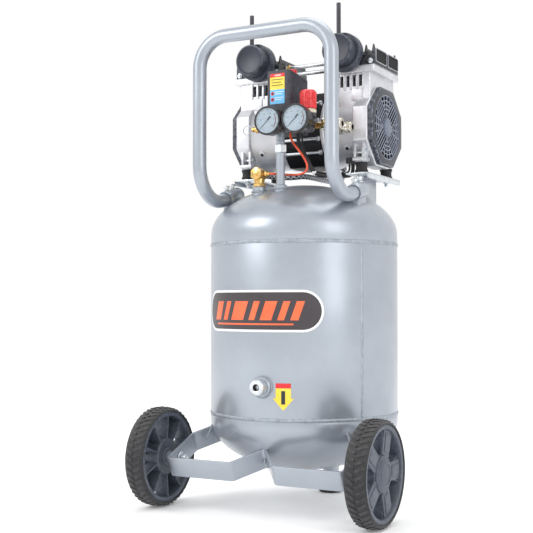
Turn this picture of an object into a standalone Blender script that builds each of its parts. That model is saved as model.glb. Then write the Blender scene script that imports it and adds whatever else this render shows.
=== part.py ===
"""Vertical-tank, oil-free, twin-cylinder air compressor on two wheels.

Metres, +Z up. The handle and wheels face -Y, the motor shaft lies along X.
Every place is worked out from the tank axis on the floor, then moved along Y
so that the middle of the whole object's footprint is the origin.
"""
import math

import bmesh
import bpy
from mathutils import Matrix, Vector

# ---- driving dimensions -------------------------------------------------
GAP = 0.0003                 # clearance between pieces that meet
SMOOTH_ANGLE = math.radians(35)

TANK_RADIUS = 0.175
TANK_WALL = 0.003
TANK_SEGMENTS = 36
SEAM_LOW_Z = 0.168           # weld between the bottom head and the shell
SEAM_HIGH_Z = 0.478          # weld between the shell and the top head
HEAD_DEPTH = 0.094           # ellipse part of a pressed head
TOP_FLANGE = 0.019           # straight part of the top head
LOW_FLANGE = 0.012           # straight part of the bottom head
CROWN_Z = SEAM_HIGH_Z + TOP_FLANGE + HEAD_DEPTH


def dome_height(radius):
    """Height of the top head's outside at a distance from the tank axis."""
    rise = HEAD_DEPTH * math.sqrt(1 - (radius / TANK_RADIUS) ** 2)
    return SEAM_HIGH_Z + TOP_FLANGE + rise



WHEEL_RADIUS = 0.090
WHEEL_WIDTH = 0.040
RIM_RADIUS = WHEEL_RADIUS - 0.008
RIM_WALL = 0.009
HUB_RADIUS = 0.033
SPOKES = 5
SPOKE_WIDTH = 0.024
SPOKE_DEPTH = 0.022
AXLE_RADIUS = 0.006

BAR_THICKNESS = 0.004        # flat bar of the wheel bracket
BAR_HEIGHT = 0.0365
BAR_TILT = math.radians(22)
BAR_FRONT_Y = -TANK_RADIUS - 0.029
BAR_FRONT_Z = WHEEL_RADIUS + 0.0054    # upper edge of the front run
BAR_HALF_WIDTH = TANK_RADIUS - 0.004
BAR_ARM = 0.092
BAR_V_HALF = 0.042
BAR_V_DEPTH = 0.056
WHEEL_Y = BAR_FRONT_Y + 0.041
TRACK = 2 * (BAR_HALF_WIDTH + WHEEL_WIDTH / 2 + 0.0215)    # between the wheels' middles

LEG_Y = TANK_RADIUS - 0.057
LEG_RADIUS = 0.016
FOOT_RADIUS = 0.024
FOOT_HEIGHT = 0.016

HANDLE_HALF = 0.1325
HANDLE_RADIUS = 0.0125
HANDLE_Y = -0.159
HANDLE_TOP_Z = CROWN_Z + 0.261
HANDLE_CORNER = 0.055
HANDLE_LOW_BEND = 0.062
SOCKET_TILT = math.radians(15)
SOCKET_MOUTH_Y = -0.069
SOCKET_MOUTH_Z = dome_height(math.hypot(HANDLE_HALF, SOCKET_MOUTH_Y)) + 0.0197
SOCKET_LENGTH = 0.050
SOCKET_RADIUS = HANDLE_RADIUS + 0.003

PUMP_Y = 0.056               # motor shaft axis
MOUNT_HEIGHT = 0.022
PLATE_TOP_Z = CROWN_Z + 0.017
PUMP_Z = PLATE_TOP_Z + MOUNT_HEIGHT + 0.069
HOUSING_SIZE = 0.152         # across the flats of the fan housing
HOUSING_CHAMFER = 0.038
COVER_SIZE = HOUSING_SIZE - 0.008
COVER_CHAMFER = 0.042
COVER_OUTER_X = 0.148
COVER_THICKNESS = 0.010
HOUSING_INNER_X = 0.108      # where the fan housing begins
HOUSING_WALL = 0.005
CASE_SIZE = 0.136            # across the flats of the crankcase
CASE_INNER_X = 0.040
CHAMBER_X0 = 0.060
CHAMBER_RADIUS = 0.048
BORE_X = 0.088
WINDOW_X = {"left": 0.0645, "right": 0.077}    # innermost window of each casting
BORE_RADIUS = 0.030
JACKET_X = (0.058, 0.137)
JACKET_HALF_Y = 0.058
JACKET_TOP_Z = PUMP_Z + 0.097
FLANGE_X = (0.050, 0.146)
FLANGE_HALF_Y = 0.061
FLANGE_TOP_Z = JACKET_TOP_Z + 0.012
HEAD_TOP_Z = FLANGE_TOP_Z + 0.021
FIN_TOP_Z = HEAD_TOP_Z + 0.016
FIN_COUNT = 6
FIN_THICKNESS = 0.0035
STATOR_SIZE = 0.140
STATOR_BORE = 0.0425
ROTOR_RADIUS = 0.0415
SHAFT_RADIUS = 0.007
THROW = 0.006                # eccentric throw: stroke is twice this
ECCENTRIC_RADIUS = 0.014
ROD_THICKNESS = 0.012
FAN_RADIUS = 0.062
FAN_BLADES = 7

MOUNT_X = 0.120
MOUNT_HALF_Y = 0.059
MOUNT_RADIUS = 0.0125
PLATE_THICKNESS = 0.003
PLATE_X = (0.096, 0.142)
PLATE_OVERHANG = 0.018

FILTER_X = 0.091
FILTER_Z = FLANGE_TOP_Z + 0.024
DRUM_RADIUS = 0.0355
DRUM_LENGTH = 0.022
CAP_RADIUS = 0.0285
CAP_LENGTH = 0.023
INTAKE_RADIUS = 0.004
INTAKE_TOP_Z = FILTER_Z + 0.087

RISER_Y = -0.094
RISER_RADIUS = 0.008
BASE_X = (-0.0205, 0.028)
BASE_Y = (-0.112, -0.036)
BASE_Z = (CROWN_Z + 0.089, CROWN_Z + 0.121)
SWITCH_TOP_Z = BASE_Z[1] + 0.078
SWITCH_DROP = 0.008          # how much lower the rear of the switch cover is
SWITCH_WALL = 0.002
KNOB_RADIUS = 0.008
KNOB_TRAVEL = 0.006

GAUGE_Z = BASE_Z[0] + 0.014
GAUGE_FACE_Y = -0.147
GAUGE_RADIUS = 0.026
GAUGE_DEPTH = 0.028
GAUGE_STEM = 0.005
REGULATOR_X = 0.055
REGULATOR_Y = -0.092
REGULATOR_RADIUS = 0.0145
REGULATOR_KNOB_RADIUS = 0.0152
REGULATOR_KNOB_Z = (BASE_Z[0] + 0.038, BASE_Z[0] + 0.072)

OUTLET_X = (0.086, 0.100)
OUTLET_Z = BASE_Z[0] + 0.007
OUTLET_HALF = 0.010
COUPLER_Y = (-0.092, -0.048)
COUPLER_END_X = 0.1225
COUPLER_RADIUS = 0.0075
SLEEVE_RADIUS = 0.0105
SLEEVE_LENGTH = 0.013
SLEEVE_TRAVEL = 0.005

SAFETY_Y = -0.096
SAFETY_LENGTH = 0.037
SAFETY_Z = BASE_Z[0] + 0.009
CHECK_X = -0.044
CHECK_Y = -0.094
CHECK_Z = CROWN_Z + 0.015
PLUG_X = 0.006
PLUG_Z = 0.225
PLUG_RADIUS = 0.0135
PLUG_LENGTH = 0.016
BOSS_RADIUS = 0.018
BOSS_HEIGHT = 0.006

HOSE_RADIUS = 0.005
UNLOADER_RADIUS = 0.002
LEADS_RADIUS = 0.0035

# The footprint runs from the front of the wheels to the back of the tank.
Y_SHIFT = -(TANK_RADIUS + WHEEL_Y - WHEEL_RADIUS) / 2

SIDES = (("left", -1), ("right", 1))


# ---- scene and materials ------------------------------------------------
for old in list(bpy.data.objects):
    bpy.data.objects.remove(old, do_unlink=True)

parts = bpy.data.collections.new("air_compressor")
cutters = bpy.data.collections.new("cutters")
bpy.context.scene.collection.children.link(parts)
bpy.context.scene.collection.children.link(cutters)


def material(name, color, roughness, metallic=0.0):
    """One Principled material; color is linear RGB."""
    made = bpy.data.materials.new(name)
    made.use_nodes = True
    shader = made.node_tree.nodes["Principled BSDF"]
    shader.inputs["Base Color"].default_value = (*color, 1.0)
    shader.inputs["Roughness"].default_value = roughness
    shader.inputs["Metallic"].default_value = metallic
    made.diffuse_color = (*color, 1.0)
    return made


SILVER_PAINT = material("silver_paint", (0.42, 0.45, 0.49), 0.35, 0.6)
CAST_ALUMINIUM = material("cast_aluminium", (0.68, 0.68, 0.70), 0.45, 0.9)
ZINC = material("zinc_plate", (0.72, 0.75, 0.78), 0.35, 0.9)
STEEL = material("bright_steel", (0.60, 0.60, 0.62), 0.3, 1.0)
BRASS = material("brass", (0.75, 0.48, 0.15), 0.3, 1.0)
NICKEL = material("nickel", (0.66, 0.63, 0.56), 0.25, 1.0)
BLACK_PLASTIC = material("black_plastic", (0.03, 0.03, 0.04), 0.5)
SLATE_PLASTIC = material("slate_plastic", (0.04, 0.05, 0.07), 0.5)
BLACK_METAL = material("black_metal", (0.015, 0.015, 0.018), 0.4, 0.3)
RUBBER = material("rubber", (0.012, 0.012, 0.014), 0.8)
RED_PLASTIC = material("red_plastic", (0.85, 0.03, 0.03), 0.35)
ORANGE_TUBE = material("orange_tube", (0.80, 0.10, 0.03), 0.3)
BRAID = material("steel_braid", (0.45, 0.45, 0.47), 0.4, 0.8)
DIAL_METAL = material("gauge_case", (0.02, 0.02, 0.022), 0.35)


# ---- building blocks ----------------------------------------------------
def place(x, y, z):
    """A point measured from the tank axis, in the object's own frame."""
    return Vector((x, y + Y_SHIFT, z))


TURN = {"X": Matrix.Rotation(math.pi / 2, 4, "Y"),
        "-X": Matrix.Rotation(-math.pi / 2, 4, "Y"),
        "Y": Matrix.Rotation(-math.pi / 2, 4, "X"),
        "-Y": Matrix.Rotation(math.pi / 2, 4, "X"),
        "Z": Matrix.Identity(4)}


def add(name, data, where, turn=None):
    """A new object in the parts collection, at a place, with a turn."""
    made = bpy.data.objects.new(name, data)
    parts.objects.link(made)
    made.matrix_world = Matrix.Translation(where) @ (turn or Matrix.Identity(4))
    return made


def mesh_from(name, work):
    data = bpy.data.meshes.new(name)
    work.to_mesh(data)
    work.free()
    return data


def box(name, low, high):
    """A box between two corners given from the tank axis."""
    low = place(*low)
    high = place(*high)
    work = bmesh.new()
    bmesh.ops.create_cube(work, size=1.0)
    size = [abs(b - a) for a, b in zip(low, high)]
    bmesh.ops.scale(work, vec=size, verts=work.verts)
    return add(name, mesh_from(name, work), (low + high) / 2)


def side_box(name, side, span_x, span_y, span_z):
    """A box on one side of the machine; span_x is measured outward."""
    xs = sorted(side * value for value in span_x)
    return box(name, (xs[0], span_y[0], span_z[0]), (xs[1], span_y[1], span_z[1]))


def rod(name, radius, start, end, segments=16, end_radius=None):
    """A cylinder, or a cone, between two points given from the tank axis."""
    start = place(*start)
    end = place(*end)
    along = end - start
    work = bmesh.new()
    bmesh.ops.create_cone(work, cap_ends=True, segments=segments, radius1=radius,
                          radius2=radius if end_radius is None else end_radius,
                          depth=along.length)
    turn = along.to_track_quat("Z", "Y").to_matrix().to_4x4()
    made = add(name, mesh_from(name, work), (start + end) / 2, turn)
    return made


def turned(name, profile, where, axis="Z", segments=24, closed=False):
    """A turned piece: (radius, height) points down the outside, spun round an axis."""
    work = bmesh.new()
    points = [work.verts.new((radius, 0, height)) for radius, height in profile]
    for first, second in zip(points, points[1:]):
        work.edges.new((first, second))
    if closed:
        work.edges.new((points[-1], points[0]))
    made = add(name, mesh_from(name, work), where, TURN[axis])
    spin = made.modifiers.new("spin", "SCREW")
    spin.steps = segments
    spin.render_steps = segments
    spin.use_merge_vertices = True
    spin.merge_threshold = 0.00001
    spin.use_smooth_shade = True
    return made


def washer(name, inner, outer, start, end, where, axis="Z", segments=24):
    """A turned ring with a square section, from height start to end."""
    profile = [(inner, end), (outer, end), (outer, start), (inner, start)]
    return turned(name, profile, where, axis, segments, closed=True)


def freeze(made):
    """Turn a curve object into a mesh object with its caps welded on."""
    graph = bpy.context.evaluated_depsgraph_get()
    data = bpy.data.meshes.new_from_object(made.evaluated_get(graph))
    work = bmesh.new()
    work.from_mesh(data)
    bmesh.ops.remove_doubles(work, verts=work.verts, dist=0.00001)
    work.to_mesh(data)
    work.free()
    name = made.name
    where = made.matrix_world.copy()
    bpy.data.objects.remove(made, do_unlink=True)
    frozen = add(name, data, Vector((0, 0, 0)))
    frozen.matrix_world = where
    return frozen


def tube(name, points, radius, resolution=2):
    """A round tube through a list of points given in the object's frame."""
    curve = bpy.data.curves.new(name, "CURVE")
    curve.dimensions = "3D"
    curve.bevel_depth = radius
    curve.bevel_resolution = resolution
    curve.use_fill_caps = True
    spline = curve.splines.new("POLY")
    spline.points.add(len(points) - 1)
    for control, point in zip(spline.points, points):
        control.co = (*point, 1.0)
    return add(name, curve, Vector((0, 0, 0)))


def extruded(name, outline, thickness, where, turn):
    """A flat outline with a thickness, centred on its own plane."""
    curve = bpy.data.curves.new(name, "CURVE")
    curve.dimensions = "2D"
    curve.fill_mode = "BOTH"
    curve.extrude = thickness / 2
    spline = curve.splines.new("POLY")
    spline.points.add(len(outline) - 1)
    spline.use_cyclic_u = True
    for control, point in zip(spline.points, outline):
        control.co = (point[0], point[1], 0.0, 1.0)
    made = add(name, curve, where, turn)
    bpy.context.view_layer.update()
    return freeze(made)


def boolean(target, operation, tools):
    for tool in tools:
        change = target.modifiers.new(tool.name, "BOOLEAN")
        change.operation = operation
        change.object = tool
        parts.objects.unlink(tool)
        cutters.objects.link(tool)
        tool.hide_render = True
        tool.display_type = "WIRE"
    return target


def cut(target, *tools):
    return boolean(target, "DIFFERENCE", tools)


def join(target, *tools):
    return boolean(target, "UNION", tools)


def trim(target, tool):
    """Cut with a cutter that several pieces share."""
    change = target.modifiers.new(tool.name, "BOOLEAN")
    change.operation = "DIFFERENCE"
    change.object = tool
    return target


def finish(made, look):
    """Give a piece its material and its smooth shading."""
    made.data.materials.clear()
    made.data.materials.append(look)
    if made.type == "MESH" and made.data.polygons:
        made.data.shade_smooth()
        made.data.set_sharp_from_angle(angle=SMOOTH_ANGLE)
    return made


def octagon(size, chamfer):
    """A square of a given size with its corners cut, as (y, z) points."""
    half = size / 2
    near = half - chamfer
    corners = [(half, -near), (half, near), (near, half), (-near, half),
               (-half, near), (-half, -near), (-near, -half), (near, -half)]
    return corners


def octagon_prism(name, size, chamfer, side, span_x):
    """An eight-sided prism round the motor shaft, between two distances out."""
    middle = side * (span_x[0] + span_x[1]) / 2
    turn = Matrix(((0, 0, 1, 0), (1, 0, 0, 0), (0, 1, 0, 0), (0, 0, 0, 1)))
    return extruded(name, octagon(size, chamfer), span_x[1] - span_x[0],
                    place(middle, PUMP_Y, PUMP_Z), turn)


def smooth_route(points, step):
    """Points along a smooth curve through a route, about one step apart.

    Heights in the route are measured from the tank's crown. The first and last
    runs stay straight, so each end meets its fitting square.
    """
    route = [place(x, y, CROWN_Z + height) for x, y, height in points]
    made = [route[0]]
    for index in range(1, len(route) - 2):
        before, start, end, after = route[index - 1:index + 3]
        count = max(2, round((end - start).length / step))
        for number in range(count):
            t = number / count
            made.append(0.5 * (2 * start + (end - before) * t
                               + (2 * before - 5 * start + 4 * end - after) * t ** 2
                               + (3 * start - before - 3 * end + after) * t ** 3))
    made += route[-2:]
    return made


def bend(centre, across, up, radius, start, sweep, steps):
    """Points of an arc in the plane of two unit vectors."""
    made = []
    for number in range(steps + 1):
        angle = start + sweep * number / steps
        made.append(centre + radius * (across * math.cos(angle) + up * math.sin(angle)))
    return made


# ---- tank ---------------------------------------------------------------
def ellipse_points(radius, depth, steps):
    """(radius, height) from the rim of a pressed head to its crown."""
    made = []
    for number in range(steps + 1):
        angle = math.pi / 2 * number / steps
        made.append((radius * math.cos(angle), depth * math.sin(angle)))
    made[-1] = (0.0, depth)
    return made


def head_profile(flange):
    """Section of a pressed head, crown up, with its rim at height 0."""
    outer = [(r, flange + z) for r, z in ellipse_points(TANK_RADIUS, HEAD_DEPTH, 8)]
    inner = [(r, flange + z) for r, z in
             ellipse_points(TANK_RADIUS - TANK_WALL, HEAD_DEPTH - TANK_WALL, 4)]
    rim = [(TANK_RADIUS, 0.0), (TANK_RADIUS - TANK_WALL, 0.0)]
    return outer[::-1] + rim + inner


def tank_envelope():
    """The tank's outside, grown by the clearance, to cut what sits on it."""
    radius = TANK_RADIUS + GAP
    depth = HEAD_DEPTH + GAP
    top = [(r, SEAM_HIGH_Z + TOP_FLANGE + z) for r, z in ellipse_points(radius, depth, 16)]
    low = [(r, SEAM_LOW_Z - LOW_FLANGE - z) for r, z in ellipse_points(radius, depth, 16)]
    made = turned("tank_envelope", top[::-1] + low, place(0, 0, 0), "Z", 2 * TANK_SEGMENTS)
    parts.objects.unlink(made)
    cutters.objects.link(made)
    made.hide_render = True
    made.display_type = "WIRE"
    return made


envelope = tank_envelope()


def make_tank():
    shell = washer("tank_shell", TANK_RADIUS - TANK_WALL, TANK_RADIUS,
                   SEAM_LOW_Z + GAP / 2, SEAM_HIGH_Z - GAP / 2, place(0, 0, 0),
                   "Z", TANK_SEGMENTS)
    front = -math.sqrt(TANK_RADIUS ** 2 - PLUG_X ** 2)
    join(shell, rod("inspection_boss", BOSS_RADIUS, (PLUG_X, front - BOSS_HEIGHT, PLUG_Z),
                    (PLUG_X, front + TANK_WALL, PLUG_Z), 24))
    cut(shell, rod("inspection_port", PLUG_RADIUS * 0.7 + GAP,
                   (PLUG_X, front - BOSS_HEIGHT * 2, PLUG_Z),
                   (PLUG_X, front + BOSS_HEIGHT * 2, PLUG_Z), 20))
    finish(shell, SILVER_PAINT)

    top = turned("tank_top_head", head_profile(TOP_FLANGE),
                 place(0, 0, SEAM_HIGH_Z + GAP / 2), "Z", TANK_SEGMENTS)
    finish(top, SILVER_PAINT)

    upside_down = Matrix.Rotation(math.pi, 4, "X")
    low = turned("tank_bottom_head", head_profile(LOW_FLANGE),
                 place(0, 0, SEAM_LOW_Z - GAP / 2), "Z", TANK_SEGMENTS)
    low.matrix_world = low.matrix_world @ upside_down
    crown_z = SEAM_LOW_Z - LOW_FLANGE - HEAD_DEPTH
    cut(low, rod("drain_port", 0.005 + GAP, (0, 0, crown_z - 0.01),
                 (0, 0, crown_z + 0.02), 16))
    finish(low, SILVER_PAINT)

    face = front - BOSS_HEIGHT - GAP
    plug = rod("inspection_plug", PLUG_RADIUS, (PLUG_X, face - PLUG_LENGTH, PLUG_Z),
               (PLUG_X, face, PLUG_Z), 24)
    join(plug, rod("plug_thread", PLUG_RADIUS * 0.7, (PLUG_X, face - BOSS_HEIGHT, PLUG_Z),
                   (PLUG_X, face + BOSS_HEIGHT, PLUG_Z), 20))
    cut(plug, rod("plug_socket", 0.0048, (PLUG_X, face - PLUG_LENGTH * 2, PLUG_Z),
                  (PLUG_X, face - PLUG_LENGTH / 2, PLUG_Z), 6))
    finish(plug, ZINC)


# ---- wheels and their bracket -------------------------------------------
def thicken(path, thickness):
    """A closed outline round an open path, square at its ends, mitred at its bends."""
    points = [Vector(point) for point in path]
    left = []
    right = []
    for index, point in enumerate(points):
        before = (point - points[index - 1]).normalized() if index else None
        after = (points[index + 1] - point).normalized() if index + 1 < len(points) else None
        first = before or after
        second = after or before
        normal = Vector((-first.y - second.y, first.x + second.x)).normalized()
        reach = thickness / 2 / max(0.2, normal.dot(Vector((-first.y, first.x))))
        left.append(point + normal * reach)
        right.append(point - normal * reach)
    return left + right[::-1]


def make_bracket():
    half = [(BAR_V_HALF, 0.0), (BAR_HALF_WIDTH, 0.0), (BAR_HALF_WIDTH, BAR_ARM),
            (BAR_HALF_WIDTH - 0.030, BAR_ARM + 0.040)]
    path = [(-x, v) for x, v in half[::-1]] + [(0.0, BAR_V_DEPTH)] + half
    tilt = Matrix.Rotation(BAR_TILT, 4, "X")
    down = tilt @ Vector((0, 0, -BAR_HEIGHT / 2))
    bar = extruded("wheel_bracket", thicken(path, BAR_THICKNESS), BAR_HEIGHT,
                   place(0, BAR_FRONT_Y, BAR_FRONT_Z) + down, tilt)
    trim(bar, envelope)
    for name, side in SIDES:
        cut(bar, rod("axle_hole_" + name, AXLE_RADIUS + GAP,
                     (side * (BAR_HALF_WIDTH - 0.01), WHEEL_Y, WHEEL_RADIUS),
                     (side * (BAR_HALF_WIDTH + 0.01), WHEEL_Y, WHEEL_RADIUS), 16))
    finish(bar, SILVER_PAINT)


def make_wheel(name, side):
    centre = place(side * TRACK / 2, WHEEL_Y, WHEEL_RADIUS)
    axis = "X" if side > 0 else "-X"
    half = WHEEL_WIDTH / 2
    shoulder = 0.005
    inner = RIM_RADIUS + GAP
    tread = [(inner, half - 0.002), (WHEEL_RADIUS - shoulder, half),
             (WHEEL_RADIUS - 0.0012, half - shoulder), (WHEEL_RADIUS, half - 2.4 * shoulder),
             (WHEEL_RADIUS, -half + 2.4 * shoulder), (WHEEL_RADIUS - 0.0012, -half + shoulder),
             (WHEEL_RADIUS - shoulder, -half), (inner, -half + 0.002)]
    finish(turned("tyre_" + name, tread, centre, axis, 36, closed=True), RUBBER)

    rim = washer("rim_" + name, RIM_RADIUS - RIM_WALL, RIM_RADIUS, -half + 0.003,
                 half - 0.003, centre, axis, 36)
    hub_in = side * (TRACK / 2 - half)
    hub_out = side * (TRACK / 2 + half)
    join(rim, rod("hub_" + name, HUB_RADIUS, (hub_in + side * 0.004, WHEEL_Y, WHEEL_RADIUS),
                  (hub_out - side * 0.004, WHEEL_Y, WHEEL_RADIUS), 24))
    join(rim, rod("hub_cap_" + name, HUB_RADIUS - 0.002,
                  (hub_out - side * 0.010, WHEEL_Y, WHEEL_RADIUS),
                  (hub_out - side * GAP, WHEEL_Y, WHEEL_RADIUS), 24, HUB_RADIUS * 0.75))
    reach = (HUB_RADIUS + RIM_RADIUS) / 2 - RIM_WALL / 4
    length = RIM_RADIUS - HUB_RADIUS
    for number in range(SPOKES):
        work = bmesh.new()
        bmesh.ops.create_cube(work, size=1.0)
        bmesh.ops.scale(work, vec=(SPOKE_DEPTH, SPOKE_WIDTH, length), verts=work.verts)
        bmesh.ops.translate(work, vec=(0, 0, reach), verts=work.verts)
        spoke_name = "spoke_%s_%d" % (name, number)
        around = Matrix.Rotation(math.tau * number / SPOKES, 4, "X")
        join(rim, add(spoke_name, mesh_from(spoke_name, work), centre, around))
    cut(rim, rod("hub_bore_" + name, AXLE_RADIUS + GAP,
                 (hub_in - side * 0.01, WHEEL_Y, WHEEL_RADIUS),
                 (hub_out - side * 0.008, WHEEL_Y, WHEEL_RADIUS), 20))
    finish(rim, SLATE_PLASTIC)

    arm_in = BAR_HALF_WIDTH - BAR_THICKNESS / 2 - GAP
    arm_out = BAR_HALF_WIDTH + BAR_THICKNESS / 2 + GAP
    end = abs(hub_out) - 0.010
    nut = 0.009
    shaft = [(0.0, end), (AXLE_RADIUS, end), (AXLE_RADIUS, abs(hub_in) + 0.0035),
             (AXLE_RADIUS * 1.7, abs(hub_in) + 0.0035), (AXLE_RADIUS * 1.7, arm_out),
             (AXLE_RADIUS, arm_out), (AXLE_RADIUS, arm_in), (AXLE_RADIUS * 1.8, arm_in),
             (AXLE_RADIUS * 1.8, arm_in - nut), (0.0, arm_in - nut)]
    finish(turned("axle_" + name, shaft, place(0, WHEEL_Y, WHEEL_RADIUS), axis, 16), ZINC)


def make_rear_leg():
    leg = rod("rear_leg", LEG_RADIUS, (0, LEG_Y, FOOT_HEIGHT + GAP), (0, LEG_Y, SEAM_LOW_Z), 24)
    join(leg, rod("leg_pad", LEG_RADIUS * 1.4, (0, LEG_Y, FOOT_HEIGHT + GAP),
                  (0, LEG_Y, FOOT_HEIGHT + 0.004), 24))
    trim(leg, envelope)
    finish(leg, SILVER_PAINT)
    foot = [(0.0, FOOT_HEIGHT), (FOOT_RADIUS * 0.9, FOOT_HEIGHT), (FOOT_RADIUS, 0.003),
            (FOOT_RADIUS - 0.002, 0.0), (0.0, 0.0)]
    finish(turned("rear_foot", foot, place(0, LEG_Y, 0), "Z", 28), RUBBER)


# ---- handle -------------------------------------------------------------
def socket_point(along):
    """A point on the socket's axis, in the plane x = 0."""
    return place(0, SOCKET_MOUTH_Y + along * math.cos(SOCKET_TILT),
                 SOCKET_MOUTH_Z + along * math.sin(SOCKET_TILT))


def handle_half():
    """Centreline of the right half, from the top middle to the socket's end."""
    right = Vector((1, 0, 0))
    back = Vector((0, 1, 0))
    up = Vector((0, 0, 1))
    corner = place(HANDLE_HALF - HANDLE_CORNER, HANDLE_Y, HANDLE_TOP_Z - HANDLE_CORNER)
    points = [place(0, HANDLE_Y, HANDLE_TOP_Z)]
    points += bend(corner, right, up, HANDLE_CORNER, math.pi / 2, -math.pi / 2, 8)
    tilt = SOCKET_TILT
    start_y = HANDLE_Y + HANDLE_LOW_BEND * (1 + math.sin(tilt))
    start = socket_point((start_y - SOCKET_MOUTH_Y) / math.cos(tilt))
    low_z = start.z + HANDLE_LOW_BEND * math.cos(tilt)
    centre = place(HANDLE_HALF, HANDLE_Y + HANDLE_LOW_BEND, low_z)
    points += bend(centre, back, up, HANDLE_LOW_BEND, math.pi, math.pi / 2 + tilt, 9)
    end = socket_point(SOCKET_LENGTH - 0.004)
    points.append(Vector((HANDLE_HALF, end.y, end.z)))
    return points


def make_handle():
    half = handle_half()
    mirrored = [Vector((-point.x, point.y, point.z)) for point in half[:0:-1]]
    handle = tube("handle_tube", mirrored + half, HANDLE_RADIUS, 3)
    finish(handle, SILVER_PAINT)
    for name, side in SIDES:
        mouth = socket_point(0.0)
        end = socket_point(SOCKET_LENGTH)
        shift = Vector((side * HANDLE_HALF, -Y_SHIFT, 0))
        socket = rod("handle_socket_" + name, SOCKET_RADIUS, mouth + shift, end + shift, 24)
        middle = (mouth + end) / 2 + shift
        join(socket, box("socket_saddle_" + name, middle - Vector((0.007, 0.019, 0.040)),
                         middle + Vector((0.007, 0.019, -0.008))))
        before = socket_point(-0.01) + shift
        stop = socket_point(SOCKET_LENGTH - 0.003) + shift
        cut(socket, rod("socket_bore_" + name, HANDLE_RADIUS + GAP, before, stop, 20))
        trim(socket, envelope)
        finish(socket, SILVER_PAINT)


# ---- motor and pumps ----------------------------------------------------
def make_motor():
    core = octagon_prism("stator", STATOR_SIZE, 0.034, 1,
                         (-CASE_INNER_X + GAP, CASE_INNER_X - GAP))
    cut(core, rod("stator_bore", STATOR_BORE, (-0.1, PUMP_Y, PUMP_Z), (0.1, PUMP_Y, PUMP_Z), 32))
    finish(core, BLACK_METAL)

    shaft_end = COVER_OUTER_X - COVER_THICKNESS - 0.004
    half_core = CASE_INNER_X - 0.004
    shaft = [(0.0, shaft_end), (SHAFT_RADIUS, shaft_end), (SHAFT_RADIUS, half_core),
             (ROTOR_RADIUS, half_core), (ROTOR_RADIUS, -half_core), (SHAFT_RADIUS, -half_core),
             (SHAFT_RADIUS, -shaft_end), (0.0, -shaft_end)]
    rotor = turned("rotor_shaft", shaft, place(0, PUMP_Y, PUMP_Z), "X", 24)
    for name, side in SIDES:
        middle = side * BORE_X
        offset = side * THROW
        reach = side * ROD_THICKNESS * 0.6
        join(rotor, rod("eccentric_" + name, ECCENTRIC_RADIUS,
                        (middle - reach, PUMP_Y + offset, PUMP_Z),
                        (middle + reach, PUMP_Y + offset, PUMP_Z), 20))
    finish(rotor, STEEL)


def make_crankcase(name, side):
    case = octagon_prism("crankcase_" + name, CASE_SIZE, 0.036, side,
                         (CASE_INNER_X, HOUSING_INNER_X + HOUSING_WALL))
    housing_end = COVER_OUTER_X - COVER_THICKNESS - GAP
    join(case, octagon_prism("fan_housing_" + name, HOUSING_SIZE, HOUSING_CHAMFER, side,
                             (HOUSING_INNER_X, housing_end)))
    near = PUMP_Y - JACKET_HALF_Y
    far = PUMP_Y + JACKET_HALF_Y
    join(case, side_box("jacket_" + name, side, JACKET_X, (near, far),
                        (PUMP_Z + 0.020, JACKET_TOP_Z)))
    join(case, side_box("deck_" + name, side, FLANGE_X,
                        (PUMP_Y - FLANGE_HALF_Y, PUMP_Y + FLANGE_HALF_Y),
                        (JACKET_TOP_Z - 0.001, FLANGE_TOP_Z)))
    for place_name, end in (("front", -1), ("rear", 1)):
        foot_y = PUMP_Y + end * MOUNT_HALF_Y
        join(case, side_box("foot_%s_%s" % (place_name, name), side,
                            (MOUNT_X - 0.013, MOUNT_X + 0.011),
                            (foot_y - 0.012, foot_y + 0.012),
                            (PLATE_TOP_Z + MOUNT_HEIGHT + 2 * GAP, PUMP_Z - 0.042)))
    cut(case, octagon_prism("fan_space_" + name, HOUSING_SIZE - 2 * HOUSING_WALL,
                            HOUSING_CHAMFER - 0.6 * HOUSING_WALL, side,
                            (HOUSING_INNER_X + HOUSING_WALL, COVER_OUTER_X)))
    cut(case, rod("chamber_" + name, CHAMBER_RADIUS, (side * CHAMBER_X0, PUMP_Y, PUMP_Z),
                  (side * COVER_OUTER_X, PUMP_Y, PUMP_Z), 32))
    cut(case, rod("bore_" + name, BORE_RADIUS, (side * BORE_X, PUMP_Y, PUMP_Z),
                  (side * BORE_X, PUMP_Y, FLANGE_TOP_Z + 0.01), 28))
    cut(case, rod("bearing_bore_" + name, SHAFT_RADIUS + 0.001,
                  (side * (CASE_INNER_X - 0.01), PUMP_Y, PUMP_Z),
                  (side * (CHAMBER_X0 + 0.01), PUMP_Y, PUMP_Z), 20))
    for number in range(4):
        start = side * (WINDOW_X[name] + 0.0125 * number)
        cut(case, box("window_%s_%d" % (name, number),
                      (min(start, start + side * 0.007), near - 0.02, JACKET_TOP_Z - 0.026),
                      (max(start, start + side * 0.007), near + 0.006, JACKET_TOP_Z - 0.005)))
    finish(case, CAST_ALUMINIUM)


def make_piston(name, side):
    """Rod and cup in one piece; its big end clears the eccentric all the way round."""
    centre = (side * BORE_X, PUMP_Y, PUMP_Z)
    clear = ECCENTRIC_RADIUS + 2 * THROW + 2 * GAP
    half = ROD_THICKNESS / 2
    ring = washer("piston_" + name, clear, clear + 0.006, -half, half, place(*centre), "X", 28)
    cup_z = JACKET_TOP_Z - 0.014
    rod_low = PUMP_Z + clear + 0.003
    join(ring, box("piston_rod_" + name, (side * BORE_X - half, PUMP_Y - 0.008, rod_low),
                   (side * BORE_X + half, PUMP_Y + 0.008, cup_z + 0.001)))
    join(ring, rod("piston_cup_" + name, BORE_RADIUS - GAP, (side * BORE_X, PUMP_Y, cup_z),
                   (side * BORE_X, PUMP_Y, cup_z + 0.009), 28))
    finish(ring, CAST_ALUMINIUM)


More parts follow.
